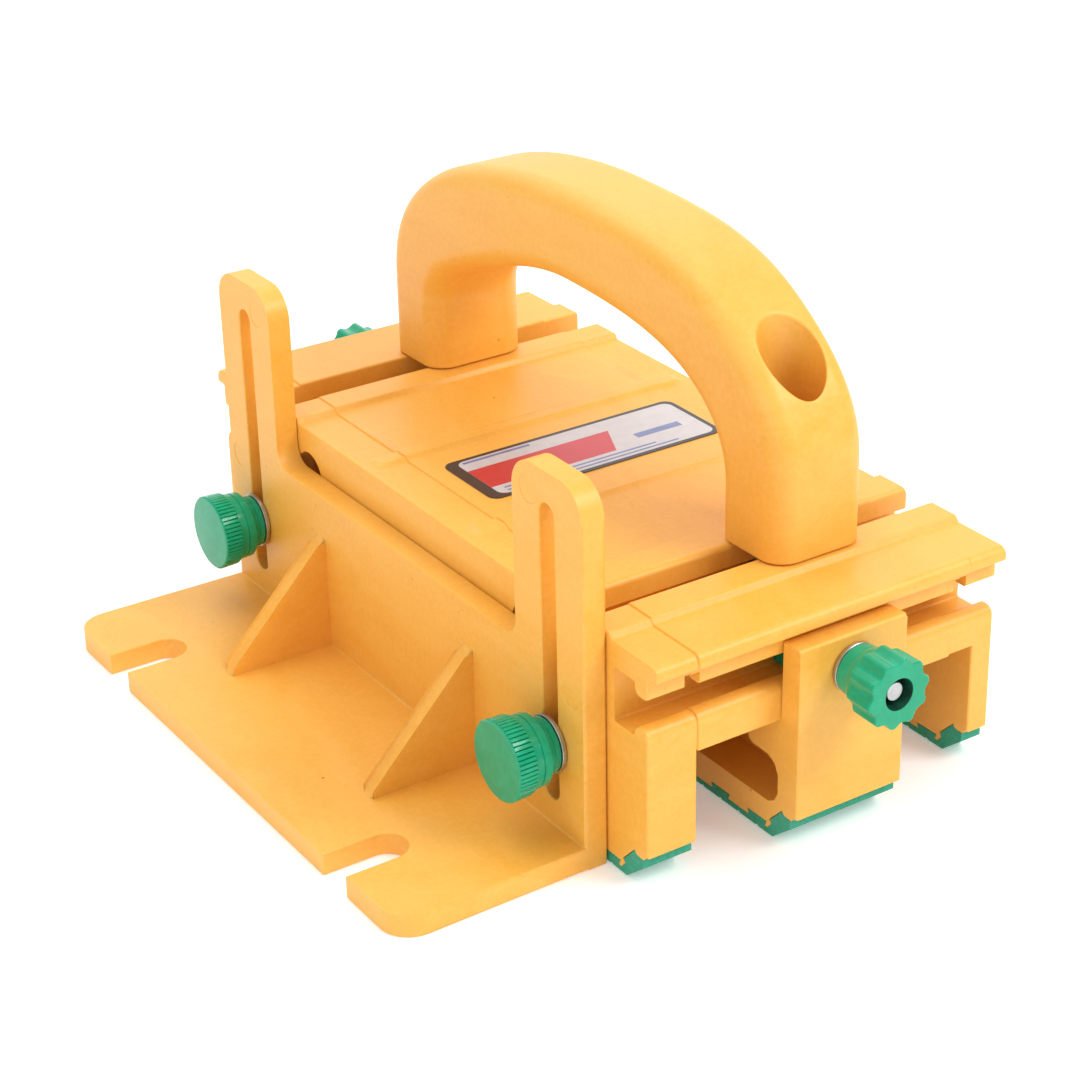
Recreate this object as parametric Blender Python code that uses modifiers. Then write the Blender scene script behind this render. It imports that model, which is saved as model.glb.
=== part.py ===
"""Table-saw push block with a balance support: one named object for each separate piece.

The block stands on its three rubber-soled legs. +X runs across the block, away from the
balance support, +Y runs along it, and +Z is up. The origin is under the middle of the whole
object, at the level of the soles. Lengths below are in millimetres; mm() turns them to metres.
"""

import math

import bmesh
import bpy
from mathutils import Matrix

# ---- driving dimensions -------------------------------------------------------------------
SIDE_X = -22.6  # X of the block's left face, where the balance support bears
BLOCK_W = 101.6  # width of the block across its legs (4 in)
BLOCK_Y = 100.5  # half the length of the block at its legs
DECK_Y = 104.0  # half the length of the deck, which overhangs the legs
DECK_Z = 59.2  # top of the deck's flats
RIDGE_Z = 60.6  # top of the deck's raised strips
CAP_W = 11.5  # the deck's end strips, a hair lower than the rest
CAP_DROP = 0.3
RAIL_Z = 32.4  # underside of the two lower rails
LEFT_LEG_W = 13.7
RIGHT_LEG_W = 6.35  # the quarter-inch leg
SLOT_Y = 72.0  # middle of each handle slot in the deck
SLOT_W = 9.4
HOLE_D = 5.4  # clearance for a number 10 bolt
BOLT_D = 4.8
GAP = 0.3  # between pieces that touch
WASHER_T = 1.2
WASHER_GAP = 0.2  # under a washer, and as much again with it under a knob
KNOB_GAP = WASHER_T + 0.5  # from a clamped face to the knob that bears on its washer
INSERT_R = 2.48  # bore of the brass inserts and bushes, over the bolts' threads

LEG_MID = 30.0  # X of the middle of the adjustable leg
LEG_W = 31.2
LEG_Y = 107.1  # half its length, over the end posts
LEG_TOP = 53.2
STAR_Z = 44.6  # height of the star knobs' bolts

SUPPORT_Y = 85.0  # half the length of the balance support
PLATE_T = 6.1  # its upright plate
PLATE_Z = 48.5
POST_W = 27.6  # the two slotted uprights
POST_Z = 96.0
FOOT_W = 56.4  # its foot plate, from the block's face outwards
FOOT_T = 5.8
SIDE_Y = 71.2  # middle of the uprights, where the side knobs clamp
SIDE_Z = 27.6

HANDLE_X = 37.7  # middle of the handle
HANDLE_W = 28.4
HANDLE_R = 6.5  # rounding of its edges
HANDLE_SKEW = 0.85  # how far its two ends stand off its middle in X
HANDLE_FLARE = 0.042  # how much wider it is at its far end than at its middle
BORE_FLOOR = 74.0  # floor of the bores through which the handle's bolts are tightened
BORE_R = 7.5
SEAT_Z = BORE_FLOOR + GAP + WASHER_T + GAP  # where the handle bolts' heads sit
HANDLE_HEAD_H = 4.6
HANDLE_BOLT_D = 6.2
STAR_HEAD = 88.3  # Y of the outer face of the star bolts' heads
STAR_LENGTH = 12.6  # how far the star bolts run into their knobs
SHARP_ANGLE = math.radians(35)

SOLE_T = 1.5  # rubber sole under the legs
KEY_PITCH = 14.3

# The exact solver fails on the many flush faces of these two, so they take the manifold one.
FLUSH_PIECES = {"main_body", "centre_leg"}

BLOCK_X0 = SIDE_X
BLOCK_X1 = SIDE_X + BLOCK_W


def mm(value):
    return value * 0.001


# ---- scene and materials ------------------------------------------------------------------
def clear_scene():
    for obj in list(bpy.data.objects):
        bpy.data.objects.remove(obj, do_unlink=True)


def new_collection(name, hidden=False):
    found = bpy.data.collections.new(name)
    bpy.context.scene.collection.children.link(found)
    found.hide_render = hidden
    return found


clear_scene()
PARTS = new_collection("push_block")
CUTTERS = new_collection("cutters", hidden=True)


def material(name, color, roughness, metallic=0.0):
    made = bpy.data.materials.new(name)
    made.use_nodes = True
    shader = made.node_tree.nodes["Principled BSDF"]
    shader.inputs["Base Color"].default_value = (*color, 1.0)
    shader.inputs["Roughness"].default_value = roughness
    shader.inputs["Metallic"].default_value = metallic
    made.diffuse_color = (*color, 1.0)
    return made


YELLOW = material("yellow_plastic", (0.93, 0.46, 0.10), 0.45)
GREEN = material("green_plastic", (0.01, 0.27, 0.13), 0.3)
RUBBER = material("green_rubber", (0.02, 0.32, 0.18), 0.65)
STEEL = material("zinc_steel", (0.62, 0.62, 0.60), 0.3, 1.0)
BRASS = material("brass", (0.75, 0.55, 0.22), 0.35, 1.0)
PAPER = material("label_film", (0.85, 0.85, 0.86), 0.4)


# ---- outlines -----------------------------------------------------------------------------
def rounded(corners, steps=4):
    """Corner points (u, v) or (u, v, radius), as an outline whose corners are arcs."""
    points = []
    count = len(corners)
    for index, corner in enumerate(corners):
        u, v = corner[:2]
        radius = corner[2] if len(corner) > 2 else 0.0
        if radius <= 0.0:
            points.append((u, v))
            continue
        before, after = corners[index - 1], corners[(index + 1) % count]
        ax, ay = before[0] - u, before[1] - v
        bx, by = after[0] - u, after[1] - v
        la, lb = math.hypot(ax, ay), math.hypot(bx, by)
        ax, ay, bx, by = ax / la, ay / la, bx / lb, by / lb
        half = math.acos(max(-1.0, min(1.0, ax * bx + ay * by))) / 2
        reach = radius / math.tan(half)
        mx, my = ax + bx, ay + by
        ml = math.hypot(mx, my)
        cu = u + mx / ml * radius / math.sin(half)
        cv = v + my / ml * radius / math.sin(half)
        start = math.atan2(v + ay * reach - cv, u + ax * reach - cu)
        end = math.atan2(v + by * reach - cv, u + bx * reach - cu)
        turn = (end - start + math.pi) % (2 * math.pi) - math.pi
        parts = steps if radius >= 0.7 else 1
        for step in range(parts + 1):
            angle = start + turn * step / parts
            points.append((cu + radius * math.cos(angle), cv + radius * math.sin(angle)))
    return points


def box_outline(u0, v0, u1, v1, radius=0.0, steps=4):
    corners = [(u0, v0), (u1, v0), (u1, v1), (u0, v1)]
    return rounded([(u, v, radius) for u, v in corners], steps)


def circle(u, v, radius, count=32):
    angles = [2 * math.pi * k / count for k in range(count)]
    return [(u + radius * math.cos(a), v + radius * math.sin(a)) for a in angles]


TURNS = {
    "X": (math.pi / 2, 0, math.pi / 2),  # outline in Y and Z, pushed along X
    "Y": (math.pi / 2, 0, 0),  # outline in X and Z, pushed along Y
    "Z": (0, 0, 0),  # outline in X and Y, pushed along Z
}


def curve_to_mesh(curve_obj, name, collection, paint):
    """A curve object made into a mesh object, with its caps welded on."""
    bpy.context.view_layer.update()
    graph = bpy.context.evaluated_depsgraph_get()
    mesh = bpy.data.meshes.new_from_object(curve_obj.evaluated_get(graph))
    mesh.transform(curve_obj.matrix_world)
    work = bmesh.new()
    work.from_mesh(mesh)
    bmesh.ops.remove_doubles(work, verts=work.verts, dist=1e-6)
    bmesh.ops.recalc_face_normals(work, faces=work.faces)
    work.to_mesh(mesh)
    work.free()
    mesh.name = name
    mesh.materials.clear()
    if paint:
        mesh.materials.append(paint)
    obj = bpy.data.objects.new(name, mesh)
    collection.objects.link(obj)
    data = curve_obj.data
    bpy.data.objects.remove(curve_obj, do_unlink=True)
    bpy.data.curves.remove(data)
    return obj


def flat_curve(points, closed=True):
    curve = bpy.data.curves.new("outline", "CURVE")
    curve.dimensions = "2D"
    curve.fill_mode = "BOTH"
    spline = curve.splines.new("POLY")
    spline.points.add(len(points) - 1)
    for point, (u, v) in zip(spline.points, points):
        point.co = (mm(u), mm(v), 0, 1)
    spline.use_cyclic_u = closed
    return curve


def prism(name, points, axis, low, high, collection=PARTS, paint=None):
    """A flat outline pushed out along an axis from low to high."""
    curve = flat_curve(points)
    curve.extrude = mm(high - low) / 2
    obj = bpy.data.objects.new(name + "_curve", curve)
    bpy.context.scene.collection.objects.link(obj)
    obj.rotation_euler = TURNS[axis]
    middle = mm(low + high) / 2
    obj.location = [middle if axis == letter else 0.0 for letter in "XYZ"]
    return curve_to_mesh(obj, name, collection, paint)


def loft(name, sections, collection=PARTS, paint=None):
    """A solid through sections (x, outline in Y and Z) that all have as many points."""
    work = bmesh.new()
    rings = [[work.verts.new((mm(x), mm(y), mm(z))) for y, z in outline] for x, outline in sections]
    for ring_a, ring_b in zip(rings, rings[1:]):
        for k in range(len(ring_a)):
            work.faces.new((ring_a[k - 1], ring_a[k], ring_b[k], ring_b[k - 1]))
    work.faces.new(rings[0])
    work.faces.new(rings[-1])
    bmesh.ops.recalc_face_normals(work, faces=work.faces)
    mesh = bpy.data.meshes.new(name)
    work.to_mesh(mesh)
    work.free()
    if paint:
        mesh.materials.append(paint)
    obj = bpy.data.objects.new(name, mesh)
    collection.objects.link(obj)
    return obj


def as_tool(obj):
    obj.hide_render = True
    obj.display_type = "WIRE"
    return obj


def tool(points, axis, low, high, name="tool"):
    return as_tool(prism(name, points, axis, low, high, CUTTERS))


def combine(obj, other, operation):
    step = obj.modifiers.new(operation.title(), "BOOLEAN")
    step.operation = operation
    step.solver = "MANIFOLD" if obj.name in FLUSH_PIECES else "EXACT"
    step.object = other
    return obj


def cut(obj, *tools):
    for other in tools:
        combine(obj, other, "DIFFERENCE")
    return obj


def join(obj, *tools):
    for other in tools:
        combine(obj, other, "UNION")
    return obj


def turned(name, profile, axis, origin, paint, collection=PARTS, steps=24):
    """A profile of (radius, height) pairs, turned about an axis through origin.

    The profile runs down the outer side, from the top of the axis to its bottom.
    """
    mesh = bpy.data.meshes.new(name)
    work = bmesh.new()
    verts = [work.verts.new((mm(r), 0, mm(h))) for r, h in profile]
    for one, other in zip(verts, verts[1:]):
        work.edges.new((one, other))
    work.to_mesh(mesh)
    work.free()
    obj = bpy.data.objects.new(name, mesh)
    collection.objects.link(obj)
    turn = obj.modifiers.new("Turn", "SCREW")
    turn.steps = turn.render_steps = steps
    turn.use_merge_vertices = True
    turn.merge_threshold = 1e-6
    obj.location = [mm(v) for v in origin]
    obj.rotation_euler = {
        "+X": (0, math.pi / 2, 0),
        "-X": (0, -math.pi / 2, 0),
        "+Y": (-math.pi / 2, 0, 0),
        "-Y": (math.pi / 2, 0, 0),
        "+Z": (0, 0, 0),
        "-Z": (math.pi, 0, 0),
    }[axis]
    mesh.materials.append(paint)
    return obj


def hexagon(u, v, across):
    return circle(u, v, across / math.sqrt(3), 6)


# ---- the block: deck, rails and the two fixed legs, one moulding -----------------------------
def deck_end(inset=0.0):
    """Half of the deck's section, in Y and Z, from the underside of the panel outwards."""
    top, strip = DECK_Z - inset, RIDGE_Z - inset
    front, face = DECK_Y - inset, BLOCK_Y - inset
    return [
        (60.5, 54.0, 1.0),
        (60.5, 45.5, 1.0),
        (84.0, 45.5, 1.0),
        (84.0, RAIL_Z, 0.8),
        (face, RAIL_Z, 0.4),
        (face, 42.0 - inset, 2.3),  # lip of the lower rail
        (95.4, 42.0 - inset, 1.6),
        (95.4, 39.0, 0.4),
        (87.5, 39.0, 0.4),
        (87.5, 52.8, 0.4),
        (95.6, 52.8, 0.4),
        (95.6, 49.7, 2.0),  # lip of the deck
        (face, 49.7, 0.6),
        (face, 55.4, 0.3),
        (front, 55.4, 0.5),
        (front, top, 2.0),
        (86.5, top, 0.5),
        (85.6, strip, 0.6),
        (SLOT_Y + SLOT_W / 2, strip, 0.4),
        (SLOT_Y + SLOT_W / 2, 54.6, 0.0),
        (80.6, 54.6, 0.0),
        (80.6, 48.4, 0.0),
        (63.4, 48.4, 0.0),
        (63.4, 54.6, 0.0),
        (SLOT_Y - SLOT_W / 2, 54.6, 0.0),
        (SLOT_Y - SLOT_W / 2, strip, 1.4),
        (57.6, strip, 0.6),
        (56.7, top, 0.5),
        (26.6, top, 0.6),  # the raised band beside the label
        (25.2, top + 0.9, 0.6),
        (21.6, top + 0.9, 0.6),
        (20.2, top, 0.6),
    ]


def deck_section(inset=0.0):
    half = deck_end(inset)
    mirrored = [(-corner[0], *corner[1:]) for corner in reversed(half)]
    return rounded(half + mirrored, 3)


def sole_top(length, grow=0.0):
    """Upper outline of a sole in Y and Z, with its dovetail keys, from -Y to +Y."""
    half = length
    end = [
        (2.2 - grow, 7.7 + grow),
        (4.6, 7.9 + grow),
        (5.4, 8.8 + grow),
        (9.9 + grow, 4.1 + grow),
        (9.0 + grow, 3.3),
        (10.5 + grow, SOLE_T + grow),
    ]
    points = [(-half + s, z) for s, z in end]
    span = 2 * half - 29.4
    count = round(span / KEY_PITCH) + 1
    for k in range(count):
        middle = -half + 14.7 + span * k / (count - 1)
        for side in (-1, 1):
            foot, head = 3.0 + grow, 3.6 + grow
            low, high = (middle + side * foot, SOLE_T + grow), (middle + side * head, 3.0 + grow)
            points += [low, high] if side < 0 else [high, low]
    return points + [(half - s, z) for s, z in reversed(end)]


def sole_bottom(length):
    """Lower outline of a sole, with small cross notches, from +Y to -Y."""
    half = length
    points = [(half - 2.2, 5.3), (half - 8.8, 0.0)]
    span = 2 * half - 29.4
    count = 2 * round(span / KEY_PITCH) + 1
    for k in range(count):
        middle = half - 14.7 - span * k / (count - 1)
        points += [(middle + 0.6, 0.0), (middle + 0.35, 0.6), (middle - 0.35, 0.6), (middle - 0.6, 0.0)]
    return points + [(-half + 8.8, 0.0), (-half + 2.2, 5.3)]


def leg_room(length):
    """The space under a leg that its sole fills, for cutting."""
    top = sole_top(length, 0.2)
    edge = top[0][1]
    beyond = length + 9
    return top + [(beyond, edge), (beyond, -9), (-beyond, -9), (-beyond, edge)]


def leg_outline(length, top):
    """A leg seen from the side: its underside turns up towards each end."""
    return [
        (-length, 8.8),
        (-length, top),
        (length, top),
        (length, 8.8),
        (length - 2.0, 8.8),
        (length - 2.0, 6.8),
        (length - 9.0, 0.6),
        (-length + 9.0, 0.6),
        (-length + 2.0, 6.8),
        (-length + 2.0, 8.8),
    ]


def build_block():
    main, end = deck_section(), deck_section(CAP_DROP)
    cap0, cap1 = BLOCK_X0 + CAP_W, BLOCK_X1 - CAP_W
    sections = [(BLOCK_X0, end), (cap0, end), (cap0 + 0.3, main)]
    sections += [(cap1 - 0.3, main), (cap1, end), (BLOCK_X1, end)]
    body = loft("main_body", sections, paint=YELLOW)
    # Side walls of the hollow under the deck, which run down into the two fixed legs.
    for x0, x1 in ((BLOCK_X0, BLOCK_X0 + 4.5), (BLOCK_X1 - 4.5, BLOCK_X1)):
        wall = [(-85.0, 47.0), (-85.0, 31.0), (85.0, 31.0), (85.0, 47.0), (61.5, 47.0), (61.5, 55.0)]
        wall += [(-61.5, 55.0), (-61.5, 47.0)]
        join(body, tool(wall, "X", x0, x1, "side_wall"))
    legs = ((BLOCK_X0, BLOCK_X0 + LEFT_LEG_W), (BLOCK_X1 - RIGHT_LEG_W, BLOCK_X1))
    for x0, x1 in legs:
        join(body, tool(leg_outline(BLOCK_Y, 34.0), "X", x0, x1, "leg"))
        cut(body, tool(leg_room(BLOCK_Y), "X", x0 - 1, x1 + 1, "sole_room"))
    # Notches in the lip of the deck, where the bolt heads go in.
    for x0 in (BLOCK_X0 + 10.1, BLOCK_X1 - 13.4):
        for side in (-1, 1):
            y0, y1 = sorted((side * 94.0, side * 101.5))
            cut(body, tool(box_outline(y0, 45.0, y1, 52.8), "X", x0, x0 + 3.9, "lip_notch"))
    for side in (-1, 1):
        window = circle(side * 52.0, 46.2, 6.4, 24)
        cut(body, tool(window, "X", BLOCK_X0 - 1, BLOCK_X0 + 5.5, "side_window"))
        insert = circle(side * SIDE_Y, SIDE_Z, 3.8, 24)
        cut(body, tool(insert, "X", BLOCK_X0 - 1, BLOCK_X0 + 10.6, "insert_hole"))
    # Gussets that tie the left leg to the underside of the handle slots.
    for side in (-1, 1):
        y0, y1 = sorted((side * 60.8, side * 63.8))
        gusset = tool(box_outline(y0, 33.0, y1, 47.0), "X", BLOCK_X0 + 2.0, BLOCK_X0 + LEFT_LEG_W, "gusset")
        join(body, gusset)
    # Ribs that tie the end rails to the panel.
    for x in (BLOCK_X0 + 34.0, BLOCK_X1 - 34.0):
        for side in (-1, 1):
            rib = [(58.0, 55.0), (58.0, 47.0), (61.5, 44.0), (61.5, 55.0)]
            join(body, tool([(side * y, z) for y, z in rib][::side], "X", x - 1.5, x + 1.5, "rib"))
    return body


def build_sole(name, length, x0, x1):
    outline = sole_top(length) + sole_bottom(length)
    return prism(name, outline, "X", x0, x1, paint=RUBBER)


# ---- adjustable leg -----------------------------------------------------------------------------
def build_leg():
    x0, x1 = LEG_MID - LEG_W / 2, LEG_MID + LEG_W / 2
    face = BLOCK_Y + GAP
    end = [
        (88.6, 9.0, 0.0),
        (100.0, 9.0, 3.4),
        (100.0, 21.6, 4.0),
        (88.6, 21.6, 1.6),
        (88.6, 31.8, 0.8),
        (face, 31.8, 1.6),
        (face, LEG_TOP, 0.4),
        (LEG_Y, LEG_TOP, 0.8),
        (LEG_Y, 8.8, 0.0),
        (LEG_Y - 2.0, 8.8, 0.0),
        (LEG_Y - 2.0, 6.8, 0.0),
        (LEG_Y - 9.0, 0.6, 0.0),
    ]
    mirrored = [(-corner[0], *corner[1:]) for corner in reversed(end)]
    leg = prism("centre_leg", rounded(end + mirrored, 4), "X", x0, x1, paint=YELLOW)
    web = box_outline(-101.5, 7.0, 101.5, 31.8)
    join(leg, tool(web, "X", LEG_MID - 3.5, LEG_MID + 3.5, "web"))
    cut(leg, tool(leg_room(LEG_Y), "X", x0 - 1, x1 + 1, "sole_room"))
    hole = circle(LEG_MID, STAR_Z, HOLE_D / 2, 24)
    cut(leg, tool(hole, "Y", -LEG_Y - 1, LEG_Y + 1, "bolt_hole"))
    return leg


# ---- balance support ----------------------------------------------------------------------------
def build_support():
    back = SIDE_X - GAP
    face = back - PLATE_T
    half = [
        (SUPPORT_Y - POST_W, PLATE_Z, 5.0),
        (SUPPORT_Y - POST_W, POST_Z, 8.0),
        (SUPPORT_Y, POST_Z, 8.0),
        (SUPPORT_Y, 0.0, 0.0),
    ]
    wall = half + [(-corner[0], *corner[1:]) for corner in reversed(half)]
    support = prism("balance_support", rounded(wall, 5), "X", face, back, paint=YELLOW)
    outer = SIDE_X - FOOT_W
    inner_corners = [(face + 2, -SUPPORT_Y), (face + 2, SUPPORT_Y)]
    foot = rounded([*inner_corners, (outer, SUPPORT_Y, 8.0), (outer, -SUPPORT_Y, 8.0)], 6)
    join(support, tool(foot, "Z", 0.0, FOOT_T, "foot_plate"))
    for side in (-1, 1):
        y = side * 35.8
        toe = outer + 20.4
        brace = [(face + 1, FOOT_T - 1), (face + 1, 37.3), (face, 36.3), (toe, FOOT_T), (toe, FOOT_T - 1)]
        join(support, tool(brace, "Y", y - 2.3, y + 2.3, "brace"))
    for side in (-1, 1):
        y = side * 57.0
        closed_end = [(outer + 18.8, y - 5.3, 5.2), (outer + 18.8, y + 5.3, 5.2)]
        slot = rounded([(outer - 2, y - 5.3), *closed_end, (outer - 2, y + 5.3)], 5)
        cut(support, tool(slot, "Z", -1.0, FOOT_T + 1, "foot_slot"))
        y = side * SIDE_Y
        slot = box_outline(y - 2.95, 12.5, y + 2.95, 88.0, 2.94, 5)
        cut(support, tool(slot, "X", face - 1, back + 1, "post_slot"))
    return support


# ---- handle -------------------------------------------------------------------------------------
def handle_curve():
    """The handle's side, as a flat curve whose thickness and rounding make the solid."""
    curve = bpy.data.curves.new("handle", "CURVE")
    curve.dimensions = "2D"
    curve.fill_mode = "BOTH"
    curve.resolution_u = 6
    base = RIDGE_Z + GAP - 8.0
    # Each knot: y, z, and the directions and lengths of its two handles.
    knots = [
        (-84.6, base, "V"),
        (-84.6, 82.4, (0, -6), (0, 15.4)),
        (-62.0, 115.2, (-10.5, -7.0), (17, 11.2)),
        (0.0, 128.3, (-29, -0.5), (26, 0.5)),
        (63.0, 116.6, (-13, 7.0), (12, -6.5)),
        (84.6, 84.0, (0, 17), (0, -6)),
        (84.6, base, "V"),
        (61.3, base, "V"),
        (61.3, 80.0, (0, -5), (0, 6)),
        (50.0, 92.4, (6.5, -2.4), (-11, 4.4)),
        (2.0, 104.2, (19, 0.5), (-18, -0.5)),
        (-42.0, 97.8, (11, 4.4), (-11, -4.6)),
        (-61.1, 75.0, (0, 11), (0, -5)),
        (-61.1, base, "V"),
    ]
    spline = curve.splines.new("BEZIER")
    spline.bezier_points.add(len(knots) - 1)
    for point, (y, z, *arms) in zip(spline.bezier_points, knots):
        point.co = (mm(y), mm(z), 0)
        if arms[0] == "V":
            point.handle_left_type = point.handle_right_type = "VECTOR"
            continue
        point.handle_left_type = point.handle_right_type = "FREE"
        point.handle_left = (mm(y + arms[0][0]), mm(z + arms[0][1]), 0)
        point.handle_right = (mm(y + arms[1][0]), mm(z + arms[1][1]), 0)
    spline.use_cyclic_u = True
    return curve


def handle_x(along):
    """X of the handle's middle, where along runs from -1 at its near bolt to 1 at its far one."""
    return HANDLE_X - HANDLE_SKEW * along


def build_handle():
    curve = handle_curve()
    curve.extrude = mm(HANDLE_W / 2 - HANDLE_R)
    curve.bevel_depth = mm(HANDLE_R)
    curve.bevel_resolution = 3
    curve.offset = -mm(HANDLE_R)
    obj = bpy.data.objects.new("handle_curve", curve)
    bpy.context.scene.collection.objects.link(obj)
    obj.rotation_euler = TURNS["X"]
    obj.location = (mm(HANDLE_X), 0, 0)
    handle = curve_to_mesh(obj, "handle", PARTS, YELLOW)
    for vert in handle.data.vertices:  # wider towards its far end, and a little askew
        along = vert.co.y / mm(SLOT_Y)
        across = vert.co.x - mm(HANDLE_X)
        vert.co.x = mm(handle_x(along)) + across * (1.0 + HANDLE_FLARE * along)
    below = box_outline(-120.0, 20.0, 120.0, RIDGE_Z + GAP)
    cut(handle, tool(below, "X", HANDLE_X - 40, HANDLE_X + 40, "below_feet"))
    for side in (-1, 1):
        y = side * SLOT_Y
        x = handle_x(side)
        bore = circle(x, y, BORE_R, 32)
        cut(handle, tool(bore, "Z", BORE_FLOOR, 140.0, "access_bore"))
        cut(handle, tool(circle(x, y, 3.5, 24), "Z", 50.0, 80.0, "bolt_bore"))
    return handle


def bolt(name, axis, origin, length, diameter, head_w, head_h, paint=STEEL):
    """A hex-head bolt. Its head's outer face is at origin and its shank runs along axis."""
    letter, sign = axis[1], 1 if axis[0] == "+" else -1
    place = dict(zip("XYZ", origin))
    u, v = [place[other] for other in "XYZ" if other != letter]
    start = place[letter]
    low, high = sorted((start, start + sign * head_h))
    head = prism(name, hexagon(u, v, head_w), letter, low, high, paint=paint)
    low, high = sorted((start + sign * head_h * 0.5, start + sign * length))
    join(head, tool(circle(u, v, diameter / 2, 24), letter, low, high, "shank"))
    return head


def ring(name, axis, origin, outer, inner, height, paint):
    """A washer or a bush: from origin, height along axis."""
    profile = [(outer, height), (outer, 0.0), (inner, 0.0), (inner, height), (outer, height)]
    return turned(name, profile, axis, origin, paint)


def build_handle_fixings():
    for side, word in ((-1, "near"), (1, "far")):
        y = side * SLOT_Y
        x = handle_x(side)
        ring(f"handle_washer_{word}", "+Z", (x, y, BORE_FLOOR + GAP), 6.6, 3.4, WASHER_T, STEEL)
        top = SEAT_Z + HANDLE_HEAD_H
        bolt(f"handle_bolt_{word}", "-Z", (x, y, top), top - 49.0, HANDLE_BOLT_D, 11.0, HANDLE_HEAD_H)
        nut = prism(
            f"handle_tnut_{word}",
            box_outline(x - 8.0, y - 7.9, x + 8.0, y + 7.9, 1.0, 2),
            "Z", 49.8, 54.3, paint=STEEL,
        )
        neck = box_outline(x - 7.0, y - 4.2, x + 7.0, y + 4.2, 0.6, 2)
        join(nut, tool(neck, "Z", 53.0, 57.0, "tnut_neck"))
        cut(nut, tool(circle(x, y, 3.3, 24), "Z", 45.0, 60.0, "tnut_hole"))


# ---- knobs --------------------------------------------------------------------------------------
def gear_outline(u, v, outer, inner, count):
    """A ribbed rim: count small ribs."""
    points = []
    step = 2 * math.pi / count
    for k in range(count):
        for part, radius in ((-0.30, inner), (-0.16, outer), (0.16, outer), (0.30, inner)):
            angle = step * (k + part)
            points.append((u + radius * math.cos(angle), v + radius * math.sin(angle)))
    return points


def star_outline(u, v, outer, inner, count, steps=4):
    """A rim of points with a hollow between each two."""
    points = []
    step = 2 * math.pi / count
    for k in range(count):
        for part in range(steps):
            t = part / steps
            wave = abs(math.cos(math.pi * t)) ** 0.8
            radius = inner + (outer - inner) * wave
            angle = step * (k + t)
            points.append((u + radius * math.cos(angle), v + radius * math.sin(angle)))
    return points


def build_side_knobs():
    face = SIDE_X - GAP - PLATE_T  # outer face of the upright
    for side, word in ((-1, "near"), (1, "far")):
        y = side * SIDE_Y
        ring(f"side_washer_{word}", "-X", (face - WASHER_GAP, y, SIDE_Z), 7.2, HOLE_D / 2, WASHER_T, STEEL)
        start = face - KNOB_GAP
        dome = [(0.0, 13.3), (4.0, 13.2), (7.6, 12.8), (8.8, 12.4), (9.3, 11.8)]
        flange = [(9.3, 8.6), (8.8, 8.2), (8.8, 4.8), (8.3, 4.3)]
        neck = [(6.9, 4.2), (6.9, 0.4), (6.5, 0.0)]
        socket = [(2.6, 0.0), (2.6, 8.2), (0.0, 8.2)]
        profile = dome + flange + neck + socket
        knob = turned(f"side_knob_{word}", profile, "-X", (start, y, SIDE_Z), GREEN, steps=28)
        rim = gear_outline(y, SIDE_Z, 10.0, 9.2, 28)
        join(knob, tool(rim, "X", start - 12.0, start - 8.4, "rim"))
        # Steel stud, moulded into the knob, and the brass insert it screws into.
        stud = [(0.0, 25.6), (BOLT_D / 2, 25.6), (BOLT_D / 2, 0.6), (1.8, 0.0), (0.0, 0.0)]
        turned(f"side_stud_{word}", stud, "-X", (SIDE_X + 9.5, y, SIDE_Z), STEEL, steps=24)
        ring(f"side_insert_{word}", "+X", (SIDE_X + 0.2, y, SIDE_Z), 3.6, INSERT_R, 10.0, BRASS)


def build_star_knobs():
    for side, word, axis in ((-1, "near", "-Y"), (1, "far", "+Y")):
        face = side * LEG_Y
        washer_at = (LEG_MID, face + side * WASHER_GAP, STAR_Z)
        ring(f"star_washer_{word}", axis, washer_at, 6.4, HOLE_D / 2, WASHER_T, STEEL)
        start = face + side * KNOB_GAP
        outside = [(3.75, 14.3), (7.2, 14.3), (7.6, 13.9), (7.6, 4.0), (6.6, 3.2), (6.6, 0.4), (6.2, 0.0)]
        socket = [(4.4, 0.0), (4.4, 5.2), (3.75, 5.2), (3.75, 14.3)]
        profile = outside + socket
        knob = turned(f"star_knob_{word}", profile, axis, (LEG_MID, start, STAR_Z), GREEN, steps=30)
        low, high = sorted((start + side * 5.9, start + side * 14.3))
        rim = prism("rim", star_outline(LEG_MID, STAR_Z, 8.9, 7.9, 10), "Y", low, high, CUTTERS)
        cut(as_tool(rim), tool(circle(LEG_MID, STAR_Z, 6.0, 32), "Y", low - 1, high + 1, "rim_hole"))
        join(knob, rim)
        # Threaded bush pressed into the knob.
        ring(f"star_bush_{word}", axis, (LEG_MID, start + side * 0.2, STAR_Z), 4.2, INSERT_R, 4.8, BRASS)
        build_clamp(side, word)


def build_clamp(side, word):
    """The bolt of a star knob and the green block that holds its head in the channel."""
    inner, outer = side * 87.9, side * 95.0
    low, high = sorted((inner, outer))
    outline = box_outline(LEG_MID - 8.0, 39.4, LEG_MID + 8.0, 52.4, 1.0, 2)
    block = prism(f"slider_{word}", outline, "Y", low, high, paint=GREEN)
    pocket = hexagon(LEG_MID, STAR_Z, 9.0)
    pocket_low, pocket_high = sorted((side * 86.0, side * 92.3))
    cut(block, tool(pocket, "Y", pocket_low, pocket_high, "head_pocket"))
    cut(block, tool(circle(LEG_MID, STAR_Z, HOLE_D / 2, 24), "Y", low - 1, high + 1, "shank_hole"))
    axis = "-Y" if side < 0 else "+Y"
    length = LEG_Y + KNOB_GAP + STAR_LENGTH - STAR_HEAD
    bolt(f"star_bolt_{word}", axis, (LEG_MID, side * STAR_HEAD, STAR_Z), length, BOLT_D, 8.4, 3.6)


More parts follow.
